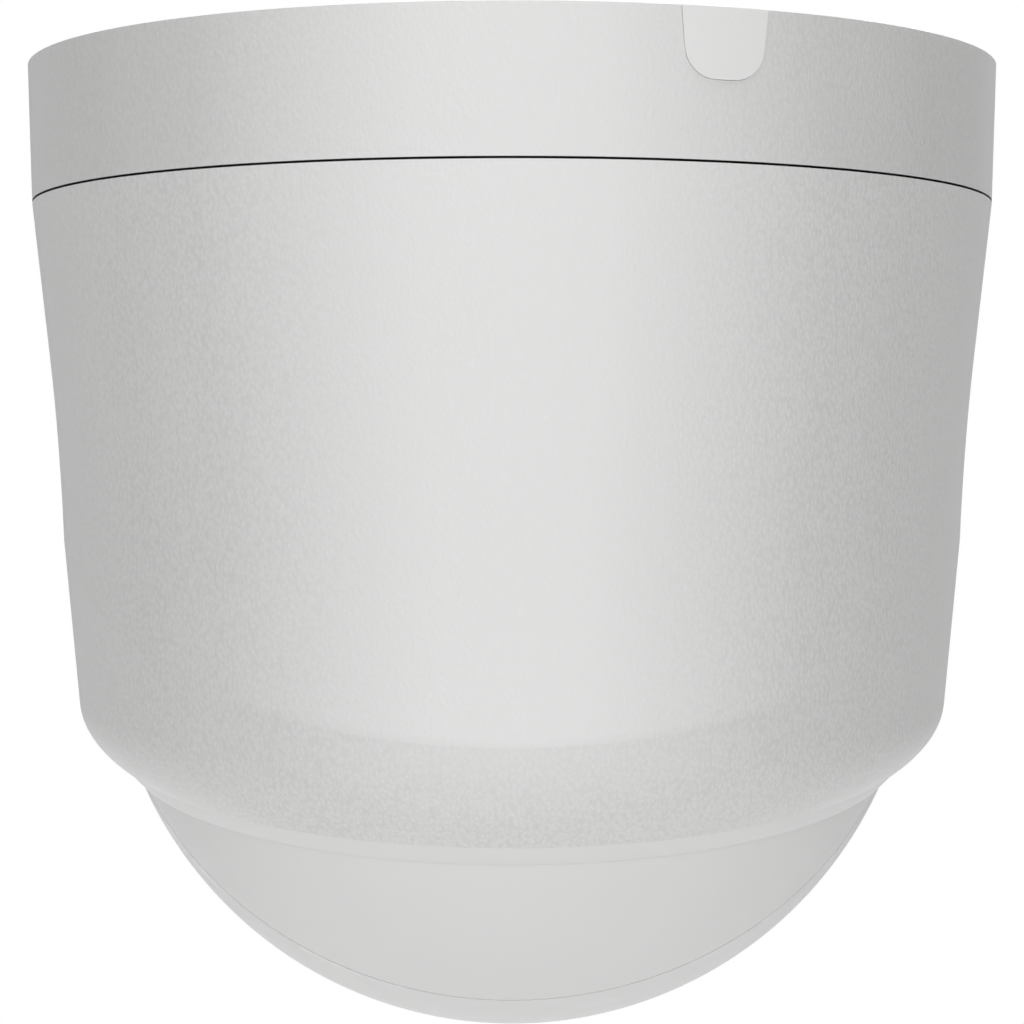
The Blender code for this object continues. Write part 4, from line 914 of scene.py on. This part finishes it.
def lens_pieces():
    outside = [(MOUTH_RADIUS, BARREL_REAR), (BARREL_RADIUS, BARREL_REAR), (BARREL_RADIUS, FLANGE_AT),
               (FLANGE_RADIUS, FLANGE_AT), (FLANGE_RADIUS, FLANGE_AT + 3.0), (BARREL_RADIUS, FLANGE_AT + 3.0),
               (BARREL_RADIUS, RIBS[0]), *ribbed(*RIBS, BARREL_RADIUS, 0.35, 1.0)]
    outside += [(BARREL_RADIUS, 43.2), (BARREL_RADIUS, BARREL_END), (20.2, BARREL_END), (20.2, 57.0),
                (17.5, 57.0), (16.5, 56.4), (16.5, 55.8), (15.2, 55.3), (15.2, 54.8), (MOUTH_RADIUS, 54.0),
                (MOUTH_RADIUS, 52.0), (BARREL_BORE, 52.0), (BARREL_BORE, BARREL_REAR + 2.0),
                (MOUTH_RADIUS, BARREL_REAR + 2.0)]
    barrel = turned(fillet(outside), 96)
    finish_piece("zoom_barrel", barrel, "black_metal", "camera_head", "lens_barrel", PART_SMOOTH)

    crown = [(GLASS_RADIUS * i / 16, GLASS_TIP - GLASS_CROWN * (i / 16) ** 2) for i in range(17)]
    glass = [(0.0, 57.6), (14.0, 57.2), (19.4, 57.2), (GLASS_RADIUS, 57.6)] + crown[::-1]
    finish_piece("objective_glass", turned(glass, 96), "lens_glass", "camera_head", "front_lens")

    hood = [(HOOD_THROAT, HOOD_START), (HOOD_THROAT + HOOD_WALL, HOOD_START), (24.0, 61.0), (40.0, 81.0),
            (40.0, HOOD_END), (HOOD_MOUTH, HOOD_END)]
    for i in range(HOOD_STEPS):
        if i:
            r, z = hood_step(i)
            hood.append((r - 0.3, z - 2.2))
        hood.append(hood_step(i + 1))
    shroud = turned(fillet(hood), 128)
    finish_piece("lens_hood", shroud, "black_matte", "camera_head", "lens_shroud", FLAT_SMOOTH)


# --- materials ---


def settle(node, **values):
    """Sets a node's inputs by name, with underscores for spaces."""
    for key, value in values.items():
        node.inputs[key.replace("_", " ")].default_value = value
    return node


LOOKS = {}


class Shader:
    """A principled material with helpers for texture chains in the piece's own space, in metres."""

    def __init__(self, name, colour, roughness, metallic=0.0, **inputs):
        self.material = bpy.data.materials.new(name)
        LOOKS[name] = self.material
        self.material.use_nodes = True
        self.tree = self.material.node_tree
        self.shader = self.tree.nodes["Principled BSDF"]
        self.space = self.tree.nodes.new("ShaderNodeTexCoord").outputs["Object"]
        settle(self.shader, Base_Color=(*colour, 1.0), Roughness=roughness, Metallic=metallic, **inputs)

    def node(self, kind, **settings):
        made = self.tree.nodes.new(f"ShaderNode{kind}")
        for key, value in settings.items():
            setattr(made, key, value)
        return made

    def link(self, source, target):
        self.tree.links.new(source, target)

    def stretched(self, scale):
        mapping = settle(self.node("Mapping"), Scale=scale)
        self.link(self.space, mapping.inputs["Vector"])
        return mapping.outputs["Vector"]

    def noise(self, size, detail=2.0, roughness=0.5, space=None):
        made = settle(self.node("TexNoise"), Scale=1.0 / (size * MM), Detail=detail, Roughness=roughness)
        self.link(space or self.space, made.inputs["Vector"])
        return made.outputs["Fac"]

    def cells(self, size, space=None, feature="SMOOTH_F1"):
        made = settle(self.node("TexVoronoi", feature=feature), Scale=1.0 / (size * MM))
        if feature == "SMOOTH_F1":
            settle(made, Smoothness=0.6)
        self.link(space or self.space, made.inputs["Vector"])
        return made.outputs["Distance"]

    def ramp(self, source, low, high, out_low=0.0, out_high=1.0):
        made = settle(self.node("MapRange"), From_Min=low, From_Max=high, To_Min=out_low, To_Max=out_high)
        self.link(source, made.inputs["Value"])
        return made.outputs["Result"]

    def maths(self, operation, first, second):
        made = self.node("Math", operation=operation)
        for socket, value in zip(made.inputs, (first, second)):
            if isinstance(value, float):
                socket.default_value = value
            else:
                self.link(value, socket)
        return made.outputs["Value"]

    def tint(self, factor, colour):
        """Mixes another colour over the base colour by a factor."""
        made = self.node("Mix", data_type="RGBA")
        self.link(factor, made.inputs["Factor"])
        base = self.shader.inputs["Base Color"]
        if base.is_linked:
            self.link(base.links[0].from_socket, made.inputs["A"])
        else:
            made.inputs["A"].default_value = base.default_value
        made.inputs["B"].default_value = (*colour, 1.0)
        self.link(made.outputs["Result"], base)

    def rough(self, source, low, high):
        self.link(self.ramp(source, 0.3, 0.7, low, high), self.shader.inputs["Roughness"])

    def bump(self, source, depth, strength=1.0):
        """Adds relief of a depth in millimetres, on top of any relief already there."""
        made = settle(self.node("Bump"), Strength=strength, Distance=depth * MM)
        self.link(source, made.inputs["Height"])
        normal = self.shader.inputs["Normal"]
        if normal.is_linked:
            self.link(normal.links[0].from_socket, made.inputs["Normal"])
        self.link(made.outputs["Normal"], normal)

    def paint_turning_shade(self, colour, strength, fade):
        """Painted shade: a slightly deeper tone where the surface turns from the eye, standing in for the light
        falling off across the surface.
        """
        weight = settle(self.node("LayerWeight"), Blend=0.5)
        rise = self.ramp(weight.outputs["Facing"], 0.02, 0.26)
        fall = self.ramp(weight.outputs["Facing"], fade, 0.85, 1.0, 0.0)
        turning_shade = self.maths("MULTIPLY", rise, fall)
        self.tint(self.maths("MULTIPLY", turning_shade, strength), colour)
        return turning_shade

    def wear(self, colour, strength=0.5):
        """A worn or polished tone along raised edges."""
        edge = self.ramp(self.node("NewGeometry").outputs["Pointiness"], 0.52, 0.6, 0.0, strength)
        patchy = self.maths("MULTIPLY", edge, self.ramp(self.noise(4.0, 3.0), 0.35, 0.65))
        self.tint(patchy, colour)

    def mix_in(self, factor, other):
        """Shows another shader in place of the principled one by a factor."""
        mix = self.node("MixShader")
        for source, target in zip((factor, self.shader.outputs["BSDF"], other), mix.inputs):
            self.link(source, target)
        self.link(mix.outputs["Shader"], self.tree.nodes["Material Output"].inputs["Surface"])


def white_grain(name, level, turning_shade_tone, strength, fade):
    """Moulded polycarbonate with a fine leathery spark grain, and painted shade where the surface turns from the
    eye.
    """
    look = Shader(name, (level, level, level - 0.004), 0.5, IOR=1.45, Specular_IOR_Level=0.35)
    # Painted shade: a deeper tone where the surface turns from the eye
    turning_shade = look.paint_turning_shade((turning_shade_tone, turning_shade_tone, turning_shade_tone - 0.004), strength, fade)
    tall = look.stretched((1.0, 1.0, 0.62))
    grain = look.maths("ADD", look.maths("MULTIPLY", look.cells(0.85, tall), 0.7),
                       look.maths("MULTIPLY", look.noise(0.45, 3.0, 0.6, tall), 0.6))
    look.bump(grain, 0.13)
    look.bump(look.noise(14.0, 2.0), 0.10, 0.5)
    look.rough(look.noise(1.1, 3.0), 0.44, 0.6)
    look.tint(look.ramp(grain, 0.35, 0.95, 0.10, 0.0), (0.69, 0.69, 0.685))
    # Painted shade in the grain pits, strongest where the surface turns from the eye
    pit_shade_mask = look.ramp(grain, 0.35, 0.85, 0.0, 0.65)
    look.tint(look.maths("MULTIPLY", pit_shade_mask, turning_shade), (0.56, 0.56, 0.555))
    look.tint(look.ramp(look.noise(35.0, 3.0), 0.45, 0.75, 0.0, 0.10), (0.74, 0.735, 0.72))
    look.wear((0.86, 0.86, 0.855))


def white_smooth(name, level):
    """Satin moulded plastic: faint flow ripple and very fine polish marks."""
    look = Shader(name, (level, level, level - 0.005), 0.36, IOR=1.45)
    look.bump(look.noise(5.0, 2.0), 0.02, 0.6)
    look.bump(look.noise(0.35, 2.0), 0.006, 0.7)
    look.rough(look.noise(8.0, 4.0), 0.33, 0.43)
    look.tint(look.ramp(look.noise(40.0, 3.0), 0.45, 0.75, 0.0, 0.12), (0.75, 0.745, 0.73))
    look.tint(look.ramp(look.noise(0.5, 1.0), 0.72, 0.78, 0.0, 0.25), (0.6, 0.6, 0.59))
    look.wear((0.87, 0.87, 0.865))


def black(name, level, rough, grain, depth):
    look = Shader(name, (level, level, level * 1.08), rough)
    look.bump(look.cells(grain), depth)
    look.rough(look.noise(6.0, 4.0), rough - 0.06, rough + 0.1)
    look.tint(look.ramp(look.noise(18.0, 4.0), 0.5, 0.8, 0.0, 0.5), (level * 1.9, level * 1.9, level * 1.95))
    look.wear((0.11, 0.11, 0.115), strength=0.7)


def black_metal():
    """Anodised barrel: fine turning lines around the lens axis."""
    look = Shader("black_metal", (0.018, 0.018, 0.02), 0.34, 0.6)
    rings = look.stretched((0.05, 6.0, 0.05))
    look.bump(look.noise(1.2, 3.0, space=rings), 0.012)
    look.rough(look.noise(3.0, 4.0, space=rings), 0.28, 0.46)
    look.wear((0.3, 0.3, 0.31), strength=0.8)


def metal(name, colour, rough, stretch, depth, stain=None):
    look = Shader(name, colour, rough, 1.0)
    lines = look.stretched(stretch)
    look.bump(look.noise(0.8, 4.0, 0.6, lines), depth)
    look.rough(look.noise(4.0, 5.0, 0.6, lines), rough - 0.08, rough + 0.14)
    darker = tuple(0.72 * c for c in colour)
    look.tint(look.ramp(look.noise(11.0, 5.0, 0.6), 0.45, 0.75, 0.0, 0.5), darker)
    if stain:
        look.tint(look.ramp(look.cells(5.0, feature="F1"), 0.2, 0.8, 0.0, 0.35), stain)
    look.wear(tuple(min(1.0, 1.25 * c) for c in colour), strength=0.6)


def cast_metal():
    look = Shader("cast_aluminium", (0.56, 0.565, 0.57), 0.5, 1.0)
    look.bump(look.cells(0.9), 0.05)
    look.bump(look.noise(6.0, 4.0), 0.12, 0.6)
    look.rough(look.noise(3.0, 5.0), 0.42, 0.66)
    look.tint(look.ramp(look.noise(15.0, 5.0), 0.4, 0.75, 0.0, 0.6), (0.38, 0.385, 0.39))
    look.wear((0.8, 0.8, 0.81))


def moulded(name, colour, rough, grain=0.6, depth=0.02):
    look = Shader(name, colour, rough)
    look.bump(look.noise(grain, 3.0), depth)
    look.rough(look.noise(5.0, 4.0), rough - 0.07, rough + 0.1)
    look.tint(look.ramp(look.noise(9.0, 4.0), 0.45, 0.75, 0.0, 0.35), tuple(0.7 * c for c in colour))
    look.wear(tuple(min(1.0, 1.2 * c + 0.03) for c in colour))


def circuit_board():
    """Solder resist over copper tracks, with pads and vias."""
    look = Shader("circuit_board", (0.012, 0.11, 0.045), 0.32, Coat_Weight=0.5, Coat_Roughness=0.15)
    grid = look.cells(2.6, feature="DISTANCE_TO_EDGE")
    copper = look.ramp(grid, 0.06, 0.09, 1.0, 0.0)
    look.tint(look.maths("MULTIPLY", copper, 0.75), (0.03, 0.23, 0.08))
    look.bump(copper, 0.03)
    vias = look.ramp(look.cells(3.1, feature="F1"), 0.10, 0.13, 1.0, 0.0)
    look.tint(look.maths("MULTIPLY", vias, 0.9), (0.72, 0.66, 0.42))
    look.rough(look.noise(3.0, 4.0), 0.26, 0.42)


def clear(name, colour, roughness, film=0.0, shadow=0.85):
    """Clear plastic or glass that also lets lamp light through to what is behind it."""
    look = Shader(name, colour, roughness, Transmission_Weight=1.0, IOR=1.49)
    if film:
        settle(look.shader, Thin_Film_Thickness=film, Thin_Film_IOR=1.38)
    smears = look.ramp(look.noise(22.0, 5.0, 0.65), 0.5, 0.85, roughness, roughness + 0.06)
    look.link(smears, look.shader.inputs["Roughness"])
    look.bump(look.noise(30.0, 1.0), 0.02, 0.4)
    see_through = settle(look.node("BsdfTransparent"), Color=(shadow, shadow, shadow, 1.0))
    look.mix_in(look.node("LightPath").outputs["Is Shadow Ray"], see_through.outputs["BSDF"])


def make_looks():
    white_grain("white_grain", 0.766, 0.63, 0.62, 0.44)
    # white_ring is a darker copy of the housing's grain white: painted shade on the ring
    white_grain("white_ring", 0.748, 0.57, 0.72, 0.5)
    white_smooth("white_smooth", 0.775)
    # white_trim and white_ball are darker copies of the smooth white: painted shade on the downward-facing trim
    # lip and ball
    white_smooth("white_trim", 0.69)
    white_smooth("white_ball", 0.68)
    black("black_plastic", 0.022, 0.45, 0.7, 0.03)
    black("black_matte", 0.012, 0.62, 0.5, 0.03)
    black_metal()
    clear("clear_dome", (0.97, 0.98, 0.98), 0.0, shadow=0.92)
    clear("lens_glass", (0.80, 0.88, 0.90), 0.0, film=430.0)
    clear("filter_glass", (0.45, 0.80, 0.85), 0.02, film=520.0)
    metal("steel", (0.60, 0.60, 0.61), 0.3, (1.0, 1.0, 8.0), 0.008)
    metal("steel_plate", (0.66, 0.66, 0.65), 0.36, (1.0, 14.0, 1.0), 0.010,
          (0.52, 0.53, 0.54))
    cast_metal()
    metal("brass", (0.74, 0.56, 0.27), 0.28, (1.0, 1.0, 8.0), 0.008)
    moulded("rubber", (0.022, 0.022, 0.023), 0.78, 0.4, 0.03)
    moulded("gear_plastic", (0.80, 0.77, 0.69), 0.42)
    moulded("connector_green", (0.03, 0.32, 0.10), 0.45)
    circuit_board()


ROUNDED_NODES = ("camera_frame", "yoke_arm_left", "yoke_arm_right", "tilt_motor", "pan_motor", "fan_frame",
                 "sensor_board", "main_board", "board_bracket", "image_sensor", "trunnion_left",
                 "trunnion_right", "dome_carrier")


def dress_cad_nodes():
    """Each CAD solid that still shows gets its material, and the listed ones get small rounds on their hard edges.
    """
    for name, node in frame["nodes"].items():
        if node.hide_render:
            continue
        node.data.materials.clear()
        node.data.materials.append(LOOKS[NODE_SLOTS[name]])
        if name in ROUNDED_NODES:
            round_edges(node, 0.25, 2, PART_SMOOTH)


# --- the stage ---


# Places in metres
OBJECT_MIDDLE = (0.0, 0.0, -0.115)
FLOOR_Z = -0.40
CAMERA_PLACE = (0.0, -0.8448, -0.11125)
CAMERA_PITCH = radians(90.229)
CAMERA_LENS = 120.75


def area_light(name, location, width, height, power):
    """A soft panel that faces the camera unit."""
    data = bpy.data.lights.new(name, "AREA")
    data.shape = "RECTANGLE"
    data.size = width
    data.size_y = height
    data.energy = power
    item = add_object(name, data)
    item.location = location
    item.rotation_euler = (Vector(OBJECT_MIDDLE) - Vector(location)).to_track_quat("-Z", "Y").to_euler()


def make_world(diffuse, glossy):
    """Even light from all round. Mirrored rays see pale walls, and the camera sees a white studio."""
    world = bpy.data.worlds.new("studio")
    world.use_nodes = True
    nodes, links = world.node_tree.nodes, world.node_tree.links
    background = settle(nodes["Background"], Color=(1.0, 1.0, 1.0, 1.0))
    rays = nodes.new("ShaderNodeLightPath")
    previous = None
    for ray, level in (("Is Glossy Ray", glossy), ("Is Transmission Ray", glossy), ("Is Camera Ray", 1.0)):
        mix = settle(nodes.new("ShaderNodeMapRange"), To_Min=diffuse, To_Max=level)
        links.new(rays.outputs[ray], mix.inputs["Value"])
        if previous:
            links.new(previous, mix.inputs["To Min"])
        previous = mix.outputs["Result"]
    links.new(previous, background.inputs["Strength"])
    bpy.context.scene.world = world


def make_floor():
    """A plain pale floor that fades into the white studio. Its glow shows plain white to the camera and lights the
    pieces from below, more toward -X.
    """
    shape = bmesh.new()
    rings = [[shape.verts.new((r * c, r * s, 0.0)) for c, s in circle(1.0, 96)]
             for r in (0.001, 0.2, 0.5, 0.8, 1.1, 1.6, 2.6)]
    join_loops(shape, rings)
    shape.faces.new(rings[0])
    mesh = bpy.data.meshes.new("floor")
    shape.to_mesh(mesh)
    shape.free()
    floor = add_object("floor", mesh)
    floor.location = (0.0, 0.0, FLOOR_Z)
    look = Shader("floor", (0.9, 0.9, 0.9), 0.9)
    glow = look.node("Emission")
    rays = look.node("LightPath")
    across = look.node("SeparateXYZ")
    look.link(look.space, across.inputs["Vector"])
    # The glow is a fill light from below, stronger toward -X; camera rays see it at full strength
    side_glow = look.ramp(across.outputs["X"], -0.3, 0.3, 0.93, 0.80)
    look.link(look.maths("MAXIMUM", side_glow, rays.outputs["Is Camera Ray"]), glow.inputs["Strength"])
    distance = look.node("VectorMath", operation="LENGTH")
    look.link(look.space, distance.inputs[0])
    fade = look.ramp(distance.outputs["Value"], 0.25, 0.9, 0.55, 1.0)
    look.mix_in(fade, glow.outputs["Emission"])
    mesh.materials.append(look.material)


def make_camera():
    data = bpy.data.cameras.new("camera")
    data.sensor_width = 36.0
    data.lens = CAMERA_LENS
    data.clip_start, data.clip_end = 0.01, 20.0
    camera = add_object("camera", data)
    camera.location = CAMERA_PLACE
    camera.rotation_euler = (CAMERA_PITCH, 0.0, 0.0)
    bpy.context.scene.camera = camera


def make_lights():
    area_light("key", (0.0, -1.6, -0.1), 0.6, 1.8, 18.5)
    area_light("overhead", (0.0, -0.3, 1.5), 1.0, 1.0, 21.0)
    area_light("lens_side", (0.45, 1.45, 1.0), 1.0, 1.0, 26.0)
    make_world(0.04, 0.75)


# --- build ---


NODE_SLOTS = {part["node"]: part["material_slot"] for part in frame["record"]["subparts"]}
make_looks()

base_cover()
conduit_plug()
mounting_plate()
plate_screws()
housing_shell()
housing_bezel()
trim_ring()
ball_rear_shell()
ball_front_shell()
dome_window()
window_seal()
lens_pieces()
dress_cad_nodes()

make_floor()
make_lights()
make_camera()
bpy.context.scene.view_settings.view_transform = "Standard"
